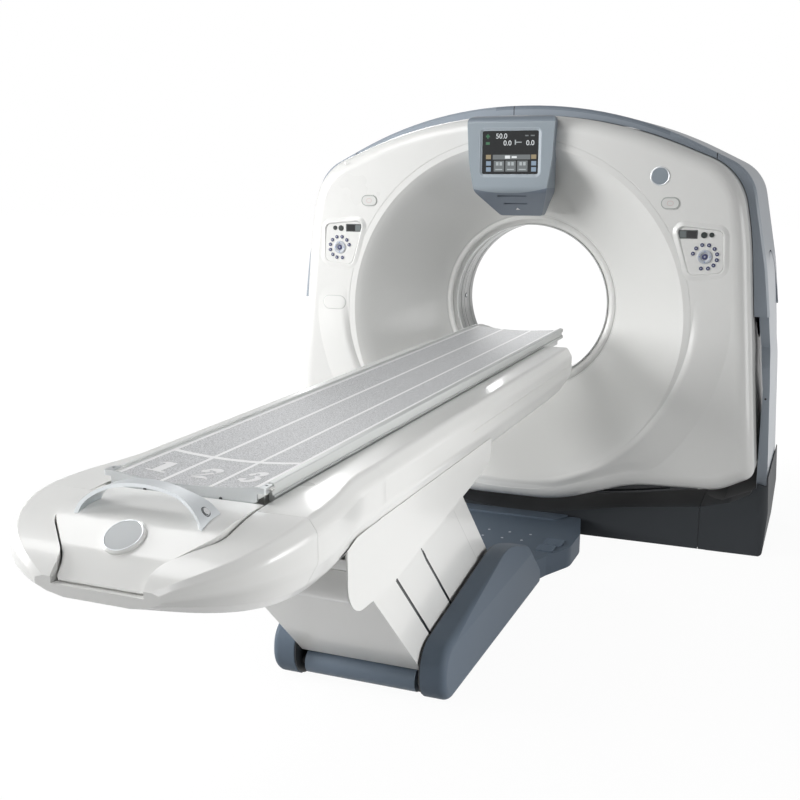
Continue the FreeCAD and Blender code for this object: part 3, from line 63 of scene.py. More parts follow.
# Soft rim round a key panel: distance outside the panel, share of its height.
HOOD_RIM = [(-0.0005, -0.3), (0.0005, 0.45), (0.0020, 0.80), (0.0045, 1.0), (0.0080, 0.92),
            (0.0130, 0.60), (0.0190, 0.22), (0.0260, -0.15)]
KEY_RING_R, KEY_R, KEY_TALL = 0.048, 0.0078, 0.0018         # keys of the solid
ARROW_R, ARROW_TALL = 0.0205, 0.0028                        # arrows of the dial
KEY_ANGLES = (166, 137, 105, 73, 42, 14, -14, -43, -72, -105)
WINDOW_X, WINDOW_Z = (0.692, 0.768), (1.345, 1.379)
LIGHT_PLACE, LIGHT_SIZE = (0.655, 1.483), (0.074, 0.047)    # oval signal windows
OVAL_PLACE, OVAL_SIZE = (-0.830, 1.025), (0.112, 0.060)     # bare oval cap at the left
DISC_PLACE, DISC_R = (0.610, 1.589), 0.038                  # plain disc at the upper right
SCREEN_Y = -0.479                # face of the display
SCREEN_HALF, SCREEN_LOW, SCREEN_HIGH = 0.120, 1.597, 1.772
CHIN_Z, CAP_Z, PLATE_Y = 1.519, 1.808, -0.466    # light plate of the display housing: ends, back
MAT_HALF, MAT_EDGE_Z, MAT_MID_Z = 0.180, 0.934, 0.923
LANE_X = 0.063                   # the two lengthwise lines stand this far from the middle
CROSS_LINE_Y = -2.724            # the line across the mat, before the lane numbers
DIGIT_Y, DIGIT_TALL = -2.853, 0.078          # lane numbers
DIGIT_STEP, DIGIT_WIDER, DIGIT_RISE = 1.91 * LANE_X, 1.1, 0.0005
CRADLE_FOOT = -2.953             # foot end of the cradle board
BOSS_PLACE, BOSS_SLOPE = (0.0, -3.165, 0.864), math.atan2(53, 95)   # boss of the foot piece
HANDLE_MID, HANDLE_HALF, HANDLE_RISE = (-3.088, 0.884), 0.158, 0.084
KEY_TURN = math.radians(25.0)    # place of the key in the arc of the handle
LINK_LEAN = math.radians(45.0)   # lean of the leg's links, and their lower pivots (y, z)
FRONT_PIVOT, SLAT_A_PIVOT, SLAT_B_PIVOT = (-1.993, 0.060), (-1.768, 0.066), (-1.478, 0.072)
BAND_SEAMS, BAND_SEAM_LOW = (-0.78, -0.04, 0.81), 1.45      # seams in the blue-grey arch: x, z
# the darker strips along the arch are painted shade of a recessed strip
STRIP_X, STRIP_Y = (-0.12, 0.62), 0.20      # darker strips along that arch: x, least distance y
CROWN_HUB, CROWN_R = (0.014, 0.223), 1.660  # centre and radius of the top of that arch
BORE_R, SCAN_Z = 0.356, 1.024    # opening of the gantry: radius, height of its axis
MARK_PLACE, MARK_HALF = (-2.585, 0.731), (0.0100, 0.0032)   # latch slot in the table body: y, z
# the tongue's brightness is partly a painted highlight
TONGUE_X, TONGUE_Z = (0.813, 0.888), (0.241, 0.303)         # bright tongue of a tray
RIB_Y, RIB_STEP, SLIT_Y = (0.020, 0.094), 0.017, (-0.0135, -0.0080)     # liner of the opening
RIDGE_R, RIDGE_END_Y = 0.3985, -0.140                       # low ridge of the dish
LASER_OUT, LASER_Y, LASER_RISE = 0.0066, 0.0120, 0.007      # laser ports, from the liner's side
STRIP_SCREW_X, STRIP_SCREW_Z = 0.098, 0.9050                # screws of the metal end strip
LATCH_PIN = (0.2055, 0.016, 0.9325)      # first latch pin: x, distance from the foot end, z
LATCH_STEP = 0.009
BOSS_TALL, BOSS_DISC_R = 0.016, 0.0405                      # the boss and its plain disc
TREAD_ROWS = [(0.1625, 0.0925, -0.605, 5), (0.1465, 0.0855, -0.690, 4)]     # x0, step, y, count
TREAD_Z = 0.088                                             # tread dots of the apron
PYLON_SCREW, EDGE_MARK = (1.0560, -0.262, 0.6830), (-0.767, FACE_Y, 1.646)
BASE_SEAM_Y = (("front", -0.2755), ("rear", 0.3515))        # seams of the charcoal base
BASE_SEAMS = [(-0.828, -0.812, 0.012, 0.190), (0.812, 0.828, 0.012, 0.190)]
CHIN_MARK, CHIN_AXIS = (0.0, -0.3455, 1.4505), (0.0, -0.122, -0.216)    # mark below the display
DISPLAY_DIGIT = 0.029                                       # size of the digits on the display
TILE_LIFT, DIGIT_LIFT, PRINT_LIFT = 0.0006, 0.0008, 0.0009  # how far they stand off the display

# ---- colours ----------------------------------------------------------------------------------
WHITE_SHELL = (0.80, 0.80, 0.78)
BLUE_GREY = (0.320, 0.365, 0.420)
# painted shade of the darker strips along the crown of the arch
BAND_STRIP_SHADE = (0.190, 0.225, 0.270)
CHARCOAL = (0.046, 0.051, 0.057)
SHOE_GREY = (0.115, 0.146, 0.185)
CONSOLE_GREY = (0.315, 0.365, 0.405)
CHIN_GREY = (0.155, 0.188, 0.235)
MAT_GREY = (0.52, 0.525, 0.535)
PRINT_WHITE = (0.92, 0.92, 0.92)
KEY_BLUE = (0.030, 0.036, 0.120)
# grey of printed outlines, also used for thin lines of painted shade at edges and seams
OUTLINE_AND_SHADE_GREY = (0.42, 0.44, 0.42)
# black of painted shade in gaps, seams and slots
GAP_SHADE = (0.012, 0.013, 0.015)


# ---- shader arithmetic ------------------------------------------------------------------------
class Link:
    """Output of a shader node. Arithmetic on it adds Math nodes to the same shader."""

    def __init__(self, shader, socket):
        self.shader = shader
        self.socket = socket

    def math(self, operation, *values):
        return self.shader.node("ShaderNodeMath", {"operation": operation}, *values)

    def __add__(self, other):
        return self.math("ADD", self, other)

    def __sub__(self, other):
        return self.math("SUBTRACT", self, other)

    def __rsub__(self, other):
        return self.math("SUBTRACT", other, self)

    def __mul__(self, other):
        return self.math("MULTIPLY", self, other)

    def __gt__(self, other):
        return self.math("GREATER_THAN", self, other)

    def __lt__(self, other):
        return self.math("LESS_THAN", self, other)

    def __abs__(self):
        return self.math("ABSOLUTE", self)

    __radd__ = __add__
    __rmul__ = __mul__

    def most(self, other):
        return self.math("MAXIMUM", self, other)

    def least(self, other):
        return self.math("MINIMUM", self, other)

    def wave(self):
        return self.math("SINE", self)

    def length_with(self, other):
        """Root of the sum of the two squares."""
        return self.math("SQRT", self * self + other * other)

    def within(self, low, high):
        """1 between the two limits, 0 outside them."""
        return (self > low) * (self < high)

    def ramp(self, start, end, low=0.0, high=1.0):
        """Smooth step from low at start to high at end."""
        return self.shader.node("ShaderNodeMapRange", {"interpolation_type": "SMOOTHSTEP"},
                                self, start, end, low, high)


class Shader:
    """Node tree of a material or of the world."""

    def __init__(self, tree):
        self.tree = tree

    def node(self, kind, settings, *values, output=0, **named):
        """Add a node of this type: settings first, then its sockets by order or by name."""
        made = self.tree.nodes.new(kind)
        for key, value in settings.items():
            setattr(made, key, value)
        sockets = list(zip(made.inputs, values))
        sockets += [(made.inputs[key.replace("_", " ")], value) for key, value in named.items()]
        for socket, value in sockets:
            self.feed(socket, value)
        return Link(self, made.outputs[output])

    def feed(self, socket, value):
        if isinstance(value, Link):
            self.tree.links.new(value.socket, socket)
        elif value is not None:
            socket.default_value = value

    def outputs(self, kind, *values):
        """All outputs of a node that has several, by their names."""
        made = self.node(kind, {}, *values).socket.node
        return {output.name: Link(self, output) for output in made.outputs}


class Finish(Shader):
    """One finish of the machine: a Principled shader, and the nodes that vary it."""

    def __init__(self, name, colour, roughness, **constants):
        self.material = bpy.data.materials.new(name)
        self.material.use_nodes = True
        super().__init__(self.material.node_tree)
        self.surface = self.tree.nodes["Principled BSDF"]
        self.surface.inputs["Base Color"].default_value = (*colour, 1.0)
        self.surface.inputs["Roughness"].default_value = roughness
        for socket, value in constants.items():
            self.surface.inputs[socket.replace("_", " ")].default_value = value
        self.colour = colour
        self.normal = None
        self.vector = self.node("ShaderNodeTexCoord", {}, output="Object")
        self.x, self.y, self.z = self.outputs("ShaderNodeSeparateXYZ", self.vector).values()

    def noise(self, scale, detail=2.0, roughness=0.5, vector=None):
        return self.node("ShaderNodeTexNoise", {}, Vector=vector or self.vector, Scale=scale,
                         Detail=detail, Roughness=roughness)

    def mix(self, mask, colour_a, colour_b):
        """Colour a where the mask is 0, colour b where it is 1."""
        colours = [(*colour, 1.0) if isinstance(colour, tuple) else colour
                   for colour in (colour_a, colour_b)]
        return self.node("ShaderNodeMix", {"data_type": "RGBA"}, mask, *[None] * 5, *colours,
                         output=2)

    def paint(self, socket, value):
        self.feed(self.surface.inputs[socket], value)

    def cover(self, mask, colour):
        """Lay a colour over the base colour painted so far, where the mask is 1."""
        base = self.surface.inputs["Base Color"]
        ground = Link(self, base.links[0].from_socket) if base.links else self.colour
        self.paint("Base Color", self.mix(mask, ground, colour))

    def bump(self, height, strength=1.0, distance=1.0):
        """Add a relief to the ones made before it. The height is in metres by default."""
        self.normal = self.node("ShaderNodeBump", {}, Strength=strength, Distance=distance,
                                Height=height, Normal=self.normal)
        self.paint("Normal", self.normal)


def tinted(colour, factor):
    return tuple(min(1.0, c * factor) for c in colour)


def moulded(name, colour, roughness, grain=900.0, depth=0.00004, coat=0.0, spread=0.04,
            shine=0.5):
    """Moulded plastic or painted shell: fine orange-peel bump, mottled colour and gloss."""
    finish = Finish(name, colour, roughness, Coat_Weight=coat, Coat_Roughness=0.08,
                    Specular_IOR_Level=shine)
    broad = finish.noise(3.0, 3.0)
    fine = finish.noise(grain, 2.0)
    finish.paint("Base Color", finish.mix(broad, tinted(colour, 1 - spread),
                                          tinted(colour, 1 + spread)))
    finish.paint("Roughness", roughness + (broad - 0.5) * 0.12)
    finish.bump(fine, 0.35, depth)
    return finish


def brushed(name, colour, roughness, stretch):
    """Brushed or turned metal: fine lines across the stretched axis."""
    finish = Finish(name, colour, roughness, Metallic=1.0)
    lines = finish.node("ShaderNodeMapping", {}, Vector=finish.vector, Scale=stretch)
    grain = finish.noise(240.0, 3.0, vector=lines)
    finish.paint("Base Color", finish.mix(grain, tinted(colour, 0.88), tinted(colour, 1.08)))
    finish.paint("Roughness", roughness + (grain - 0.5) * 0.2)
    finish.bump(grain, 0.25, 0.00003)
    return finish


# ---- distances used by the finishes -----------------------------------------------------------
def oval_distance(finish, across, place, size):
    """Distance outside the edge of an upright oval in the x-z plane, negative inside it.

    across stands for x, so that its absolute value puts the oval on both sides. With
    half = (width - height) / 2 the distance is the root of max(|x - x0| - half, 0)^2 +
    (z - z0)^2, less half of the height.
    """
    along = (abs(across - place[0]) - (size[0] - size[1]) / 2).most(0.0)
    return along.length_with(finish.z - place[1]) - size[1] / 2


def frame_distance(finish, half_x, low, high, corner):
    """Distance outside a rounded upright rectangle about x = 0, in the x-z plane."""
    mid, half_z = (low + high) / 2, (high - low) / 2
    along = (abs(finish.x) - (half_x - corner)).most(0.0)
    upright = (abs(finish.z - mid) - (half_z - corner)).most(0.0)
    return along.length_with(upright) - corner


def link_place(finish, pivot):
    """Distances along and across a link of the leg, from its lower pivot."""
    dy, dz = finish.y - pivot[0], finish.z - pivot[1]
    along = dz * math.sin(LINK_LEAN) - dy * math.cos(LINK_LEAN)
    across = dy * math.sin(LINK_LEAN) + dz * math.cos(LINK_LEAN)
    return along, across


# ---- finishes ---------------------------------------------------------------------------------
def white_shell(name):
    return moulded(name, WHITE_SHELL, 0.30, coat=0.30, spread=0.010)


def front_finish():
    """Front cover, its swelling and rims, and a grey line of painted shade round the oval cap at
    its left.
    """
    finish = white_shell("front_shell")
    cap = oval_distance(finish, finish.x, OVAL_PLACE, OVAL_SIZE)
    # grey line of painted shade along the edge of the oval cap
    finish.cover((abs(cap) < 0.0018) * 0.60, OUTLINE_AND_SHADE_GREY)
    return finish


def light_finish():
    """Signal window: pale lens in a grey outline, with a faint ring in the middle."""
    finish = moulded("signal_window", (0.74, 0.74, 0.72), 0.25, coat=0.4, spread=0.01)
    edge = oval_distance(finish, abs(finish.x), LIGHT_PLACE, LIGHT_SIZE)
    finish.cover((edge > -0.0042) * (edge < -0.0004), OUTLINE_AND_SHADE_GREY)
    ring = oval_distance(finish, abs(finish.x), LIGHT_PLACE, (0.024, 0.017))
    finish.cover((abs(ring) < 0.0011) * 0.45, (0.62, 0.36, 0.34))
    return finish


def liner_finish():
    """Liner of the opening: fine ribs round its front and rear parts, with painted shade in their
    hollows, and slits painted dark as the shade inside them.
    """
    finish = moulded("liner_shell", (0.66, 0.67, 0.66), 0.30, coat=0.3, spread=0.015)
    ribs = abs(finish.y).within(*RIB_Y)
    wave = (finish.y * (2 * math.pi / RIB_STEP)).wave()
    finish.bump(wave * ribs * 0.0011)
    # painted shade in the hollows between the ribs
    finish.cover((wave < -0.72) * ribs * 0.45, (0.30, 0.31, 0.30))
    # slits painted dark as the shade inside them
    finish.cover(finish.y.within(*SLIT_Y), (0.07, 0.07, 0.068))
    return finish


def funnel_finish():
    """Dish of the cover, with a thin line of painted shade at the edge of the low ridge round the
    opening.
    """
    finish = white_shell("funnel_shell")
    from_axis = finish.x.length_with(finish.z - SCAN_Z)
    line = abs(from_axis - RIDGE_R) < 0.0009
    # thin line of painted shade at the edge of the ridge
    finish.cover(line * (finish.y > RIDGE_END_Y) * 0.40, OUTLINE_AND_SHADE_GREY)
    return finish


def band_finish():
    """Satin blue-grey shell: two darker strips of painted shade along the crown of the arch, the
    shade of a recessed strip, and its seams painted black as the shade in their gaps.
    """
    finish = moulded("band_shell", BLUE_GREY, 0.36, coat=0.25)
    from_hub = (abs(finish.x) - CROWN_HUB[0]).length_with(finish.z - CROWN_HUB[1])
    # darker strips of painted shade along the recessed crown of the arch
    strip = (from_hub > CROWN_R - 0.016) * finish.x.within(*STRIP_X)
    finish.cover(strip * (abs(finish.y) > STRIP_Y) * 0.75, BAND_STRIP_SHADE)
    # seams painted black as the shade in their gaps
    for place in BAND_SEAMS:
        finish.cover((abs(finish.x - place) < 0.0018) * (finish.z > BAND_SEAM_LOW), GAP_SHADE)
    return finish


def console_finish():
    """Display housing: a light plate with a raised paler frame round the screen, a darker chin
    below its bowed lower edge, a darker cap, and sides that are darker partly in their own
    colour and partly as painted shade."""
    finish = moulded("console_shell", CONSOLE_GREY, 0.38, coat=0.15)
    edge = frame_distance(finish, SCREEN_HALF + 0.001, SCREEN_LOW - 0.001,
                          SCREEN_HIGH + 0.001, 0.010)
    finish.bump((edge.ramp(0.0, 0.011) - 1.0) * 0.0045)
    finish.cover(edge.within(-0.001, 0.0125) * 0.55, (0.50, 0.56, 0.61))
    finish.cover((finish.z > CAP_Z) * 0.6, CHIN_GREY)
    bow = (finish.z - finish.x * finish.x * 0.75 - finish.x * 0.015) < CHIN_Z
    finish.cover(bow, CHIN_GREY)
    # sides and back darker, partly their own colour and partly painted shade
    finish.cover((finish.y > PLATE_Y) * (1.0 - bow) * 0.60, CHIN_GREY)
    return finish


def mat_finish():
    """Coated mat: grey speckle, a white border and lane lines, printed by position."""
    finish = Finish("coated_mat", MAT_GREY, 0.55, Sheen_Weight=0.15, Sheen_Roughness=0.35)
    speck = finish.noise(290.0, 2.0, 0.75)
    broad = finish.noise(5.0, 3.0)
    ground = finish.mix(speck.ramp(0.34, 0.66), tinted(MAT_GREY, 0.58), tinted(MAT_GREY, 1.45))
    ground = finish.mix(broad * 0.2, ground, tinted(MAT_GREY, 1.15))
    across = abs(finish.x)
    border = across > MAT_HALF - 0.0105
    lane = abs(across - LANE_X) < 0.0050
    cross = abs(finish.y - CROSS_LINE_Y) < 0.0085
    finish.paint("Base Color", finish.mix((border + lane + cross).least(1.0), ground, PRINT_WHITE))
    finish.paint("Roughness", 0.52 + (speck - 0.5) * 0.2)
    finish.bump(speck, 0.4, 0.00010)
    return finish


def leg_finish(name, pivot, place, end, bend=0.0):
    """White leg cover with a dark shadow line along its rear edge, which may bend near the top."""
    finish = white_shell(name)
    along, across = link_place(finish, pivot)
    off = abs(across - place - (along - end + 0.070).most(0.0) * bend)
    finish.cover((off < 0.0056) * (along < end), GAP_SHADE)
    return finish


def slat_finish():
    """White rear slats with a faint grey line of painted shade along their rear edge."""
    finish = white_shell("leg_shell_slats_b")
    along, across = link_place(finish, SLAT_B_PIVOT)
    # faint grey line of painted shade along the rear edge
    finish.cover((across > 0.1550) * 0.55, OUTLINE_AND_SHADE_GREY)
    return finish


def body_finish():
    """White table body with a small latch slot in its right side, painted dark as its shade."""
    finish = white_shell("body_shell")
    near = (finish.y - MARK_PLACE[0]) * 0.8 + (finish.z - MARK_PLACE[1]) * 0.6
    off = (finish.z - MARK_PLACE[1]) * 0.8 - (finish.y - MARK_PLACE[0]) * 0.6
    slot = (abs(near) < MARK_HALF[0]) * (abs(off) < MARK_HALF[1])
    # latch slot painted dark as the shade inside it
    finish.cover(slot * (finish.x > 0.2), GAP_SHADE)
    return finish


def tray_finish():
    """Dark air tray with a light metal tongue at its outer end, lighter partly by a painted
    highlight on the rounded end of the tray.
    """
    finish = moulded("tray_shell", (0.030, 0.033, 0.037), 0.45)
    # light metal colour of the tongue, partly a painted highlight
    tongue = abs(finish.x).within(*TONGUE_X) * finish.z.within(*TONGUE_Z)
    finish.cover(tongue, (0.55, 0.56, 0.56))
    finish.paint("Metallic", tongue * 0.8)
    return finish


BY_SLOT = {
    "cover_white": white_shell("white_shell"),
    "band_grey": band_finish(),
    "base_charcoal": moulded("charcoal_shell", CHARCOAL, 0.50, grain=1400.0, depth=0.00008,
                             shine=0.20),
    "table_base_grey": moulded("shoe_shell", SHOE_GREY, 0.50, shine=0.12),
    "console_grey": console_finish(),
    "screen": moulded("display_glass", (0.010, 0.012, 0.013), 0.12, depth=0.0, coat=0.5),
    "light_window": light_finish(),
    "liner": liner_finish(),
    "keys": moulded("dark_keys", (0.012, 0.020, 0.018), 0.35, coat=0.2),
    # pedal rubber: the shoe grey made lighter as painted light
    "pedal": moulded("pedal_rubber", tinted(SHOE_GREY, 1.2), 0.60, grain=1600.0,
                     depth=0.00012, shine=0.2),
    "frame_steel": moulded("frame_paint", (0.22, 0.24, 0.27), 0.50, grain=700.0, depth=0.00010),
    "bearing_steel": brushed("bearing_steel", (0.62, 0.62, 0.63), 0.28, (1.0, 12.0, 1.0)),
    "dark_steel": moulded("dark_enamel", (0.13, 0.155, 0.19), 0.42, coat=0.2),
    "cast_alloy": brushed("cast_alloy", (0.60, 0.61, 0.63), 0.48, (1.0, 1.0, 1.0)),
    "cradle_shell": moulded("cradle_shell", (0.74, 0.745, 0.73), 0.32, coat=0.3, spread=0.015),
    "mat": mat_finish(),
    "rail": moulded("rail_plastic", (0.62, 0.635, 0.625), 0.38),
    "bracket_metal": brushed("bracket_steel", (0.62, 0.64, 0.65), 0.34, (1.0, 20.0, 20.0)),
    "handle_metal": brushed("handle_alloy", (0.76, 0.79, 0.81), 0.36, (1.0, 18.0, 18.0)),
    "handle_key": brushed("key_alloy", (0.86, 0.87, 0.88), 0.22, (1.0, 1.0, 1.0)),
}
BY_NODE = {
    "front_cover": front_finish(),
    "front_funnel": funnel_finish(),
    "rear_funnel": funnel_finish(),
    "table_body_cover": body_finish(),
    "leg_cover_front": leg_finish("leg_shell_front", FRONT_PIVOT, 0.1305, 0.450),
    "leg_slats_a": leg_finish("leg_shell_slats_a", SLAT_A_PIVOT, 0.1265, 0.481, 0.10),
    "leg_slats_b": slat_finish(),
    # black enamel of the base plate, dark also as painted shade in the gaps between the crossbar
    # ends and the shoes
    "table_base_plate": moulded("black_enamel", (0.020, 0.022, 0.025), 0.45),
    "lower_trays": tray_finish(),
    # crossbar: the shoe grey made lighter as painted light
    "crossbar": moulded("crossbar_shell", tinted(SHOE_GREY, 1.3), 0.45, shine=0.3),
}
SLOT_OF = {part["node"]: part["material_slot"] for part in frame["record"]["subparts"]}
for node_name, node in frame["nodes"].items():
    chosen = BY_NODE.get(node_name, BY_SLOT[SLOT_OF[node_name]])
    node.data.materials.clear()
    node.data.materials.append(chosen.material)

PRINT = moulded("white_print", PRINT_WHITE, 0.45, depth=0.0)
KEYS_BLUE = moulded("blue_keys", KEY_BLUE, 0.35, coat=0.3)
DIAL_PALE = moulded("dial_pale", (0.50, 0.53, 0.58), 0.35, coat=0.2)
DIAL_BLUE = moulded("dial_blue", (0.18, 0.26, 0.50), 0.35)
DISC_FACE = moulded("disc_face", (0.27, 0.31, 0.35), 0.32, coat=0.2)
DISC_RIM = brushed("disc_rim", (0.68, 0.70, 0.72), 0.32, (1.0, 1.0, 1.0))
BOSS_FACE = moulded("boss_face", (0.36, 0.38, 0.39), 0.35, coat=0.2)
WINDOW_DARK = moulded("window_dark", (0.010, 0.011, 0.012), 0.15, depth=0.0, coat=0.4)
WINDOW_FRAME = moulded("window_frame", (0.10, 0.11, 0.11), 0.35)
WINDOW_PALE = moulded("window_pale", (0.16, 0.18, 0.18), 0.30)
# dark plastic of screws, collars and ports, also the painted shade in the seams of the charcoal
# base
DARK_SCREWS_AND_SEAM_SHADE = moulded("screw_dark", (0.035, 0.037, 0.040), 0.35)
SCREW_METAL = brushed("screw_metal", (0.60, 0.60, 0.58), 0.30, (1.0, 1.0, 1.0))


def lamp(name, colour, strength):
    """Part of a lit display: black plastic that shines evenly."""
    finish = Finish(name, (0.0, 0.0, 0.0), 0.4, Emission_Strength=strength)
    flicker = finish.noise(900.0)
    finish.paint("Emission Color", finish.mix(flicker, tinted(colour, 0.94), colour))
    return finish


SCREEN_WHITE = lamp("screen_white", (0.86, 0.90, 0.92), 0.90)
SCREEN_GREEN = lamp("screen_green", (0.10, 0.34, 0.17), 0.45)
SCREEN_GREY = lamp("screen_grey", (0.150, 0.165, 0.170), 1.0)
SCREEN_LIGHT = lamp("screen_light", (0.42, 0.46, 0.47), 1.0)
SCREEN_BLUE = lamp("screen_blue", (0.36, 0.48, 0.62), 0.65)
SCREEN_SAND = lamp("screen_sand", (0.30, 0.24, 0.14), 1.0)


# ---- surfaces ---------------------------------------------------------------------------------
def meshed(name, points, faces, finish, body, slot, smooth=True):
    """Object at the origin from points and faces, with its finish, riding on a body."""
    mesh = bpy.data.meshes.new(name)
    mesh.from_pydata(np.asarray(points).tolist(), [], [list(map(int, f)) for f in faces])
    mesh.materials.append(finish.material)
    mesh.polygons.foreach_set("use_smooth", [smooth] * len(mesh.polygons))
    mesh.update()
    piece = bpy.data.objects.new(name, mesh)
    bpy.context.scene.collection.objects.link(piece)
    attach(piece, body)


def grid_faces(rows, cols, closed=False):
    """Quads between neighbours of a grid of points that is numbered row by row."""
    index = np.arange(rows * cols).reshape(rows, cols)
    if closed:
        index = np.hstack([index, index[:, :1]])
    quads = np.stack([index[:-1, :-1], index[:-1, 1:], index[1:, 1:], index[1:, :-1]], -1)
    return quads.reshape(-1, 4)


def turned(name, places, axis, profile, finish, body, slot, segments=28, spins=None):
    """Small turned pieces, all alike, that stand on a surface along one axis.

    A profile of (radius, height) pairs goes round the axis n. With u and v square to it, the
    points are p + r (u cos a + v sin a) + h n for angles a from 0 to 2 pi, counted from the spin
    of each piece.
    """
    n = np.asarray(axis, float)
    n /= np.linalg.norm(n)
    up = np.array([0.0, 0.0, 1.0]) if abs(n[2]) < 0.9 else np.array([0.0, 1.0, 0.0])
    u = np.cross(up, n)
    u /= np.linalg.norm(u)
    v = np.cross(n, u)
    radius, height = np.asarray(profile, float).T
    angle = np.linspace(0.0, 2 * math.pi, segments, endpoint=False)
    quads = grid_faces(len(radius), segments, closed=True)
    points, faces = [], []
    for count, place in enumerate(places):
        a = angle + (spins[count] if spins else 0.0)
        around = u * np.cos(a)[:, None] + v * np.sin(a)[:, None]
        ring = np.asarray(place) + radius[:, None, None] * around + height[:, None, None] * n
        faces.append(quads + count * len(radius) * segments)
        points.append(ring.reshape(-1, 3))
    meshed(name, np.vstack(points), np.vstack(faces), finish, body, slot, segments > 8)


def button(radius, height, hollow=0.0):
    """Profile of a round button with a soft crown, or of a flat ring if it has a hollow."""
    if hollow:
        return [(radius, 0.0), (radius, 0.8 * height), (radius - 0.2 * height, height),
                (hollow, height), (hollow, 0.0)]
    return [(radius, 0.0), (radius, 0.6 * height), (0.9 * radius, 0.9 * height),
            (0.6 * radius, height), (1e-5, height)]


def tiles(name, rectangles, y, thick, finish, body, slot):
    """Upright tiles (x0, x1, z0, z1) that stand a little out of a face, as boxes open behind."""
    corner = np.array([(0, 1, 0), (1, 1, 0), (1, 1, 1), (0, 1, 1),
                       (0, 0, 0), (1, 0, 0), (1, 0, 1), (0, 0, 1)], float)
    quads = np.array([(4, 5, 6, 7), (0, 4, 7, 3), (5, 1, 2, 6), (7, 6, 2, 3), (0, 1, 5, 4)])
    spans = np.array(rectangles, float)
    low = np.stack([spans[:, 0], np.full(len(spans), y - thick), spans[:, 2]], -1)
    high = np.stack([spans[:, 1], np.full(len(spans), y), spans[:, 3]], -1)
    points = low[:, None] + corner[None] * (high - low)[:, None]
    faces = quads[None] + 8 * np.arange(len(spans))[:, None, None]
    meshed(name, points.reshape(-1, 3), faces.reshape(-1, 4), finish, body, slot, False)


def words(name, text, size, finish, body, slot, bend):
    """Plain digits as a mesh. bend takes the flat points (u across, v up) to their places."""
    curve = bpy.data.curves.new(name, "FONT")
    curve.body = text
    curve.size = size
    curve.align_x = "CENTER"
    curve.align_y = "CENTER"
    flat = bpy.data.objects.new(name + "_flat", curve)
    bpy.context.scene.collection.objects.link(flat)
    bpy.context.view_layer.update()
    made = bpy.data.meshes.new_from_object(flat.evaluated_get(
        bpy.context.evaluated_depsgraph_get()))
    co = np.zeros(len(made.vertices) * 3)
    made.vertices.foreach_get("co", co)
    faces = [tuple(p.vertices) for p in made.polygons]
    bpy.data.objects.remove(flat)
    bpy.data.meshes.remove(made)
    co = co.reshape(-1, 3)
    meshed(name, bend(co[:, 0], co[:, 1]), faces, finish, body, slot, False)


# ---- swelling of the front cover, rims of the key panels, oval cap ----------------------------
def smooth_step(value, start, end):
    """3 t^2 - 2 t^3, where t goes from 0 at start to 1 at end."""
    t = np.clip((value - start) / (end - start), 0.0, 1.0)
    return t * t * (3.0 - 2.0 * t)


def swell_face(x, z):
    """Depth y of the low swelling of the front cover at a place x, z on its face.

    It stands out by h (1 - u^2) times a short quarter wave at its inner edge, where u goes from 0
    at the dish to 1 at the outer edge. It fades out above the middle of the gantry and towards
    the rounded lower edge of the cover.
    """
    u = (np.hypot(x, z - SWELL_Z) - SWELL_R[0]) / (SWELL_R[1] - SWELL_R[0])
    crest = np.sin(np.clip(u / 0.20, 0.0, 1.0) * math.pi / 2)
    edge = z - np.interp(abs(x), LOW_EDGE_X, LOW_EDGE_Z)
    fade = smooth_step(z, *SWELL_FADE_Z) * smooth_step(edge, EDGE_ROUND, SWELL_FADE_EDGE)
    return FACE_Y + 0.0006 - SWELL_RISE * (1.0 - u * u) * crest * fade


def swelling(side):
    """Low swelling round the lower half of the dish, as far as the rounded edge of the cover."""
    angle = np.radians(np.linspace(-90.0, 12.0, 72))[:, None]
    reach = np.linspace(*SWELL_R, 80)
    above = (SWELL_Z + reach * np.sin(angle)
             - np.interp(reach * np.cos(angle), LOW_EDGE_X, LOW_EDGE_Z)) > EDGE_ROUND
    outer = np.where(above, reach, SWELL_R[0] + 0.004).max(axis=1)[:, None]
    radius = SWELL_R[0] + (outer - SWELL_R[0]) * np.linspace(0.0, 1.0, 25)
    x, z = radius * np.cos(angle), SWELL_Z + radius * np.sin(angle)
    points = np.stack([side * x, swell_face(x, z), z], -1).reshape(-1, 3)
    return points, grid_faces(*radius.shape)[:, ::side]


def panel_hood(side):
    """Soft rim round a key panel: a rounded polygon, offset outwards, highest at its top."""
    corners = np.array(PANEL_CORNERS)
    way = np.roll(corners, -1, axis=0) - corners
    out = np.arctan2(-way[:, 0], way[:, 1])
    loop = []
    for k, corner in enumerate(corners):
        first, last = out[k - 1], out[k - 1] + (out[k] - out[k - 1]) % (2 * math.pi)
        middle, half = (first + last) / 2, (last - first) / 2
        centre = corner - HOOD_CORNER / math.cos(half) * np.array(
            [math.cos(middle), math.sin(middle)])
        loop += [(*centre, a) for a in np.linspace(first, last, 9)]
    x0, z0, a = np.array(loop).T
    offset, share = np.array(HOOD_RIM).T[:, :, None]
    x = x0 + (HOOD_CORNER + offset) * np.cos(a)
    z = z0 + (HOOD_CORNER + offset) * np.sin(a)
    height = HOOD_LOW + (HOOD_HIGH - HOOD_LOW) * smooth_step(z, HOOD_LOW_Z, HOOD_HIGH_Z)
    rise = share * height
    points = np.stack([side * x, FACE_Y - rise, z], -1).reshape(-1, 3)
    return points, grid_faces(*x.shape, closed=True)[:, ::-side]


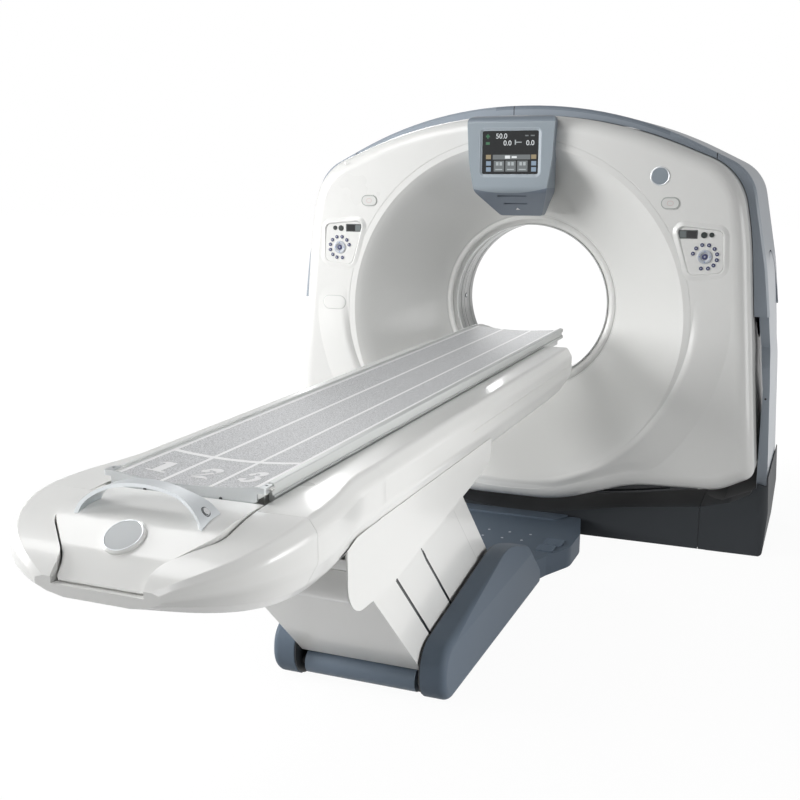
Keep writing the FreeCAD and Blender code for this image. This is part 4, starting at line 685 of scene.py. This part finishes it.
def oval_cap():
    """Bare oval cap that lies on the swelling: its outline, offset inwards with a soft edge."""
    half, end = (OVAL_SIZE[0] - OVAL_SIZE[1]) / 2, OVAL_SIZE[1] / 2
    between = np.linspace(half, -half, 9)[1:-1]
    middle = np.concatenate([np.full(17, half), between, np.full(17, -half), -between])
    a = np.radians(np.concatenate([np.linspace(-90, 90, 17), np.full(7, 90),
                                   np.linspace(90, 270, 17), np.full(7, 270)]))
    offset, lift = np.array(CAP_RIM).T[:, :, None]
    x = OVAL_PLACE[0] + middle + (end + offset) * np.cos(a)
    z = OVAL_PLACE[1] + (end + offset) * np.sin(a)
    points = np.stack([x, swell_face(x, z) - lift, z], -1).reshape(-1, 3)
    return points, grid_faces(*x.shape, closed=True)


FACE_SHELL = BY_NODE["front_cover"]
meshed("oval_cap_left", *oval_cap(), FACE_SHELL, "tilt", "cover_white")
for side, word in ((1, "right"), (-1, "left")):
    meshed("dish_swelling_" + word, *swelling(side), FACE_SHELL, "tilt", "cover_white")
    meshed("panel_hood_" + word, *panel_hood(side), FACE_SHELL, "tilt", "cover_white")


# ---- lane numbers on the mat ------------------------------------------------------------------
def mat_height(x):
    """Height of the top of the mat: a circle arc through the two edges and the low middle."""
    rise = MAT_EDGE_Z - MAT_MID_Z
    radius = (MAT_HALF ** 2 + rise ** 2) / (2 * rise)
    return MAT_MID_Z + radius - np.sqrt(radius ** 2 - x ** 2)


def stroke(path, width):
    """Flat stroke of changing width: each point of the path, half its width to the left and to
    the right of the way it runs."""
    way = np.gradient(path, axis=0)
    way /= np.linalg.norm(way, axis=1)[:, None]
    aside = np.stack([-way[:, 1], way[:, 0]], 1) * width[:, None] / 2
    return np.stack([path - aside, path + aside])


def straight(u0, v0, u1, v1, start, end):
    """Straight stroke from (u0, v0) to (u1, v1)."""
    t = np.linspace(0, 1, 9)
    path = np.stack([u0 + (u1 - u0) * t, v0 + (v1 - v0) * t], 1)
    return stroke(path, start + (end - start) * t)


def ball(u, v, r):
    """Round end of a stroke: the width is 2 r sqrt(1 - s^2) for s from -1 to 1."""
    s = np.sin(np.linspace(-1.5, 1.5, 15))
    return stroke(np.stack([u + r * s, np.full_like(s, v)], 1), 2 * r * np.sqrt(1 - s * s))


def bowl(u, v, ru, rv, first, last, thin, thick):
    """Curved stroke about (u, v) between two angles: thin at its ends, thick in between.

    The width is thin + (thick - thin) sin(pi t)^1.6 for t from 0 to 1.
    """
    t = np.linspace(0, 1, 33)
    a = np.radians(first + (last - first) * t)
    path = np.stack([u + ru * np.cos(a), v + rv * np.sin(a)], 1)
    return stroke(path, thin + (thick - thin) * np.sin(math.pi * t) ** 1.6)


# Each digit is 1 high and about 0.6 wide, with its middle at the origin.
DIGIT_STROKES = {
    1: [straight(0.04, -0.44, 0.04, 0.50, 0.27, 0.27),
        straight(-0.26, -0.455, 0.34, -0.455, 0.09, 0.09),
        straight(-0.27, 0.30, -0.06, 0.42, 0.03, 0.15)],
    2: [ball(-0.19, 0.23, 0.125), bowl(-0.01, 0.25, 0.22, 0.21, 165, -40, 0.06, 0.27),
        straight(0.14, 0.10, -0.29, -0.38, 0.17, 0.05),
        bowl(0.0, -0.86, 0.36, 0.47, 140, 40, 0.04, 0.20)],
    3: [ball(-0.18, 0.27, 0.105), bowl(-0.02, 0.26, 0.19, 0.20, 160, -85, 0.06, 0.24),
        bowl(-0.02, -0.22, 0.22, 0.24, 85, -160, 0.06, 0.27), ball(-0.21, -0.27, 0.12)],
}
for lane, strokes in DIGIT_STROKES.items():
    points, faces = [], []
    for layer, (count, flat) in enumerate(zip(np.cumsum([0] + [2 * s.shape[1] for s in strokes]),
                                              strokes)):
        x = (lane - 2) * DIGIT_STEP + DIGIT_WIDER * DIGIT_TALL * flat[:, :, 0]
        lift = mat_height(x) + DIGIT_RISE + 0.0001 * layer
        points.append(np.stack([x, DIGIT_Y + DIGIT_TALL * flat[:, :, 1], lift], -1).reshape(-1, 3))
        faces.append(grid_faces(2, flat.shape[1]) + count)
    meshed("lane_number_%d" % lane, np.vstack(points), np.vstack(faces), PRINT, "cradle", "mat",
           False)

# ---- key panels -------------------------------------------------------------------------------
FORWARD = (0.0, -1.0, 0.0)
for side, word in ((1, "right"), (-1, "left")):
    turn = np.radians(KEY_ANGLES)
    keys = [(side * (PANEL_X + KEY_RING_R * math.cos(a)), PANEL_FACE_Y - KEY_TALL,
             PANEL_Z + KEY_RING_R * math.sin(a)) for a in turn]
    middle = [(side * PANEL_X, PANEL_FACE_Y - KEY_TALL, PANEL_Z)]
    turned("ring_keys_" + word, keys, FORWARD, button(KEY_R, 0.0016), KEYS_BLUE, "tilt", "keys")
    marks = [(x, y - 0.0015, z) for x, y, z in keys]
    turned("key_marks_" + word, marks, FORWARD, button(0.0030, 0.0005), DIAL_PALE, "tilt", "keys",
           5, list(turn))
    turned("dial_plate_" + word, middle, FORWARD, button(0.0285, 0.0012, 0.0134), DIAL_PALE,
           "tilt", "keys", 40)
    arrows = [(side * PANEL_X + ARROW_R * math.cos(a), PANEL_FACE_Y - ARROW_TALL,
               PANEL_Z + ARROW_R * math.sin(a)) for a in np.radians((0, 90, 180, 270))]
    turned("dial_arrows_" + word, arrows, FORWARD, button(0.0042, 0.0004), DIAL_BLUE, "tilt",
           "keys", 3, [0.0, math.pi / 2, math.pi, 3 * math.pi / 2])
    turned("dial_key_" + word, middle, FORWARD, button(0.0118, 0.0022), KEYS_BLUE, "tilt", "keys")
    turned("dial_mark_" + word, [(x, y - 0.0021, z) for x, y, z in middle], FORWARD,
           button(0.0040, 0.0005), DIAL_PALE, "tilt", "keys", 4)
    (x0, x1), (z0, z1) = sorted((side * WINDOW_X[0], side * WINDOW_X[1])), WINDOW_Z
    pale = sorted((side * (WINDOW_X[0] + 0.006), side * (WINDOW_X[0] + 0.030)))
    dark = sorted((side * (WINDOW_X[0] + 0.033), side * (WINDOW_X[1] - 0.004)))
    tiles("window_frame_" + word, [(x0, x1, z0, z1)], PANEL_FACE_Y + 0.0020, 0.0012, WINDOW_FRAME,
          "tilt", "screen")
    tiles("window_pale_" + word, [(*pale, z0 + 0.005, z1 - 0.005)], PANEL_FACE_Y + 0.0008, 0.0003,
          WINDOW_PALE, "tilt", "screen")
    tiles("window_dark_" + word, [(*dark, z0 + 0.003, z1 - 0.003)], PANEL_FACE_Y + 0.0008, 0.0004,
          WINDOW_DARK, "tilt", "screen")

# ---- discs, marks and screws ------------------------------------------------------------------
disc = [(DISC_PLACE[0], FACE_Y, DISC_PLACE[1])]
turned("plain_disc_front", disc, FORWARD, button(DISC_R, 0.0030, DISC_R - 0.005), DISC_RIM,
       "tilt", "handle_metal", 48)
turned("plain_disc_face", disc, FORWARD,
       [(DISC_R - 0.005, 0.0), (DISC_R - 0.005, 0.0018), (DISC_R - 0.0055, 0.0020),
        (DISC_R - 0.0065, 0.0020), (1e-5, 0.0020)], DISC_FACE, "tilt", "handle_metal", 48)
boss_axis = np.array([0.0, -math.sin(BOSS_SLOPE), math.cos(BOSS_SLOPE)])
boss_top = np.array(BOSS_PLACE) + BOSS_TALL * boss_axis
turned("boss_disc", [boss_top], boss_axis,
       [(BOSS_DISC_R, -0.0010), (BOSS_DISC_R - 0.0005, 0.0006), (BOSS_DISC_R - 0.0015, 0.0007),
        (1e-5, 0.0007)], BOSS_FACE, "cradle", "handle_metal", 56)
turned("boss_ring", [boss_top], boss_axis,
       button(BOSS_DISC_R + 0.0020, 0.0012, BOSS_DISC_R - 0.0003), DISC_RIM, "cradle",
       "handle_metal", 56)
key_axis = np.array([math.cos(KEY_TURN) / HANDLE_HALF, 0.0, math.sin(KEY_TURN) / HANDLE_RISE])
key_place = (HANDLE_HALF * math.cos(KEY_TURN), HANDLE_MID[0],
             HANDLE_MID[1] + HANDLE_RISE * math.sin(KEY_TURN))
turned("key_collar", [key_place], key_axis,
       [(0.0118, -0.0010), (0.0114, 0.0005), (0.0100, 0.0003), (0.0098, -0.0020)], DARK_SCREWS_AND_SEAM_SHADE,
       "cradle", "handle_metal", 40)
turned("strip_screws", [(x, CRADLE_FOOT - 0.005, STRIP_SCREW_Z)
                        for x in (-STRIP_SCREW_X, STRIP_SCREW_X)], FORWARD,
       button(0.0042, 0.0018), DARK_SCREWS_AND_SEAM_SHADE, "cradle", "bracket_metal", 20)
for side, word in ((1, "right"), (-1, "left")):
    pins = [(side * LATCH_PIN[0], CRADLE_FOOT + LATCH_PIN[1] + k * LATCH_STEP, LATCH_PIN[2])
            for k in range(2)]
    turned("latch_pin_" + word, pins, (side, 0.0, 0.0),
           [(0.0045, 0.0), (0.0045, 0.0030), (0.0030, 0.0034), (0.0030, 0.0050), (0.0045, 0.0054),
            (0.0040, 0.0085), (1e-5, 0.0090)], SCREW_METAL, "cradle", "bracket_metal", 20)
    port = [(side * (BORE_R - LASER_OUT), LASER_Y, SCAN_Z + LASER_RISE)]
    turned("laser_port_" + word, port, (-side, 0.0, 0.0), button(0.0115, 0.0012, 0.0075),
           DARK_SCREWS_AND_SEAM_SHADE, "tilt", "liner", 28)
    turned("laser_lens_" + word, port, (-side, 0.0, 0.0), button(0.0078, 0.0024), DISC_RIM,
           "tilt", "liner", 28)
tread = [(x0 - step * k, y, TREAD_Z) for x0, step, y, count in TREAD_ROWS for k in range(count)]
turned("tread_dots", tread, (0.0, 0.0, 1.0), button(0.0055, 0.0010), DIAL_PALE, "base",
       "table_base_grey", 18)
turned("pylon_screw", [PYLON_SCREW], FORWARD, button(0.0045, 0.0008), DARK_SCREWS_AND_SEAM_SHADE, "base",
       "dark_steel", 18)
turned("edge_mark", [EDGE_MARK], FORWARD, button(0.0045, 0.0008), SCREW_METAL, "tilt",
       "handle_metal", 18)
# seams of the charcoal base, painted as dark strips of shade in their gaps
for end, y in BASE_SEAM_Y:
    tiles("base_seams_" + end, BASE_SEAMS, y, 0.0010, DARK_SCREWS_AND_SEAM_SHADE, "base", "base_charcoal")
turned("chin_lamp", [CHIN_MARK], CHIN_AXIS, button(0.0105, 0.0008), PRINT, "tilt",
       "console_grey", 3, [math.pi / 2])


# ---- display ----------------------------------------------------------------------------------
def on_screen(x_mid, z_mid):
    """Stand flat print on the face of the display."""
    def bend(u, v):
        return np.stack([x_mid + u, np.full_like(u, SCREEN_Y - DIGIT_LIFT), z_mid + v], -1)
    return bend


def screen_tiles(name, spans, finish, thick=TILE_LIFT):
    """Tiles on the display, given as shares of its width from the left and height from the top."""
    wide, tall = 2 * SCREEN_HALF, SCREEN_HIGH - SCREEN_LOW
    flat = [(wide * u0 - SCREEN_HALF, wide * u1 - SCREEN_HALF, SCREEN_HIGH - tall * v1,
             SCREEN_HIGH - tall * v0) for u0, u1, v0, v1 in spans]
    tiles(name, flat, SCREEN_Y, thick, finish, "tilt", "screen")


for name, text, x_mid, z_mid in (("display_angle", "50.0", -0.038, 1.7500),
                                 ("display_height", "0.0", -0.012, 1.7220),
                                 ("display_reach", "0.0", 0.085, 1.7220)):
    words(name, text, DISPLAY_DIGIT, SCREEN_WHITE, "tilt", "screen", on_screen(x_mid, z_mid))
screen_tiles("display_green", [(0.06, 0.13, 0.105, 0.145), (0.06, 0.13, 0.255, 0.315),
                               (0.085, 0.105, 0.07, 0.18)], SCREEN_GREEN)
screen_tiles("display_dash", [(0.58, 0.60, 0.21, 0.32), (0.60, 0.70, 0.255, 0.275)], SCREEN_LIGHT)
screen_tiles("display_hints", [(0.76, 0.82, 0.10, 0.13), (0.86, 0.93, 0.10, 0.13)], SCREEN_GREY)
screen_tiles("display_bar", [(0.19, 0.86, 0.55, 0.66)], SCREEN_GREY)
screen_tiles("display_bar_mark", [(0.41, 0.50, 0.57, 0.64), (0.53, 0.62, 0.585, 0.63)],
             SCREEN_WHITE, PRINT_LIFT)
columns = (0.21, 0.42, 0.63)        # left edges of the three drawn keys
screen_tiles("display_keys", [(u, u + 0.185, 0.69, 0.94) for u in columns], SCREEN_GREY)
screen_tiles("display_key_marks", [(u + a, u + b, 0.72, 0.80) for u in columns
                                   for a, b in ((0.04, 0.085), (0.105, 0.15))],
             SCREEN_LIGHT, PRINT_LIFT)
screen_tiles("display_key_lines", [(u + 0.03, u + 0.155, 0.88, 0.905) for u in columns],
             SCREEN_LIGHT, PRINT_LIFT)
screen_tiles("display_sand", [(0.065, 0.155, 0.55, 0.65), (0.875, 0.965, 0.55, 0.65)], SCREEN_SAND)
screen_tiles("display_blue", [(u, u + 0.085, v, v + 0.10) for u in (0.07, 0.88)
                              for v in (0.70, 0.84)], SCREEN_BLUE)


# ---- stage, light and camera ------------------------------------------------------------------
WHITE = (1.0, 1.0, 1.0, 1.0)
FLOOR_HALF, FLOOR_CENTRE_Y = 30.0, -1.4
FLOOR_FADE, FLOOR_SHARE = (2.2, 4.5), 0.91      # radii between which the shadows fade out
WORLD_LIGHT, WORLD_GLOSS = 0.14, 0.50           # strength of the light, share of white in gloss


def stage_floor():
    """Pale floor whose colour reaches the camera and the gloss as white, with soft shadows
    near the machine that fade out farther away."""
    finish = Finish("pale_floor", (0.50, 0.50, 0.50), 0.9)
    rays = finish.outputs("ShaderNodeLightPath")
    seen = rays["Is Camera Ray"] + rays["Is Glossy Ray"] + rays["Is Transmission Ray"]
    far = finish.x.length_with(finish.y - FLOOR_CENTRE_Y).ramp(*FLOOR_FADE, FLOOR_SHARE, 1.0)
    glow = finish.node("ShaderNodeEmission", {}, Color=WHITE, Strength=1.05)
    mixed = finish.node("ShaderNodeMixShader", {}, seen.least(1.0) * far,
                        Link(finish, finish.surface.outputs[0]), glow)
    output = finish.tree.nodes["Material Output"]
    finish.feed(output.inputs["Surface"], mixed)
    mesh = bpy.data.meshes.new("floor")
    mesh.from_pydata([(x * FLOOR_HALF, y * FLOOR_HALF, 0)
                      for x, y in ((-1, -1), (1, -1), (1, 1), (-1, 1))], [], [(0, 1, 2, 3)])
    mesh.materials.append(finish.material)
    floor = bpy.data.objects.new("floor", mesh)
    bpy.context.scene.collection.objects.link(floor)


def stage_world():
    """World that lights softly, shows white to the camera and half white in the gloss."""
    world = bpy.data.worlds.new("studio")
    bpy.context.scene.world = world
    world.use_nodes = True
    shader = Shader(world.node_tree)
    rays = shader.outputs("ShaderNodeLightPath")
    soft = shader.tree.nodes["Background"]
    for socket, value in (("Color", (0.95, 0.97, 1.0, 1.0)), ("Strength", WORLD_LIGHT)):
        shader.feed(soft.inputs[socket], value)
    white = shader.node("ShaderNodeBackground", {}, WHITE, 1.0)
    share = rays["Is Glossy Ray"] * WORLD_GLOSS + rays["Is Camera Ray"]
    mixed = shader.node("ShaderNodeMixShader", {}, share, Link(shader, soft.outputs[0]), white)
    shader.feed(shader.tree.nodes["World Output"].inputs[0], mixed)


def soft_light(name, place, target, size, power, spread=180.0):
    """Square area lamp that looks at a point. The spread of its beam is in degrees."""
    data = bpy.data.lights.new(name, "AREA")
    data.size = size
    data.energy = power
    data.spread = math.radians(spread)
    lamp_object = bpy.data.objects.new(name, data)
    lamp_object.location = place
    way = Vector(target) - Vector(place)
    lamp_object.rotation_euler = way.to_track_quat("-Z", "Y").to_euler()
    bpy.context.scene.collection.objects.link(lamp_object)


stage_floor()
stage_world()
soft_light("key_light", (-4.0, -3.3, 1.9), (0.0, -0.8, 1.2), 2.2, 172)
soft_light("high_light", (-1.6, -2.6, 3.6), (-0.2, -0.44, 1.5), 1.6, 38)
soft_light("dish_light", (4.6, -0.8, 1.1), (0.2, -2.1, 0.7), 2.0, 52)
soft_light("table_light", (4.2, -2.6, 1.1), (0.2, -2.6, 0.7), 1.6, 11, 55.0)
soft_light("foot_light", (-1.0, -5.8, 2.6), (0.0, -3.0, 0.8), 1.4, 4.5, 50.0)
soft_light("rear_light", (-2.4, 4.4, 3.0), (0.0, 0.4, 1.0), 2.0, 95)

CAMERA_YAW, CAMERA_DOWN = 22.1507, 11.7327      # degrees
camera_data = bpy.data.cameras.new("camera")
camera_data.lens, camera_data.sensor_width = 48.52, 36.0      # mm
camera = bpy.data.objects.new("camera", camera_data)
camera.location = (1.3032, -4.8889, 1.5891)
camera.rotation_euler = (math.radians(90 - CAMERA_DOWN), 0.0, math.radians(CAMERA_YAW))
bpy.context.scene.collection.objects.link(camera)
bpy.context.scene.camera = camera
bpy.context.scene.view_settings.view_transform = "Standard"
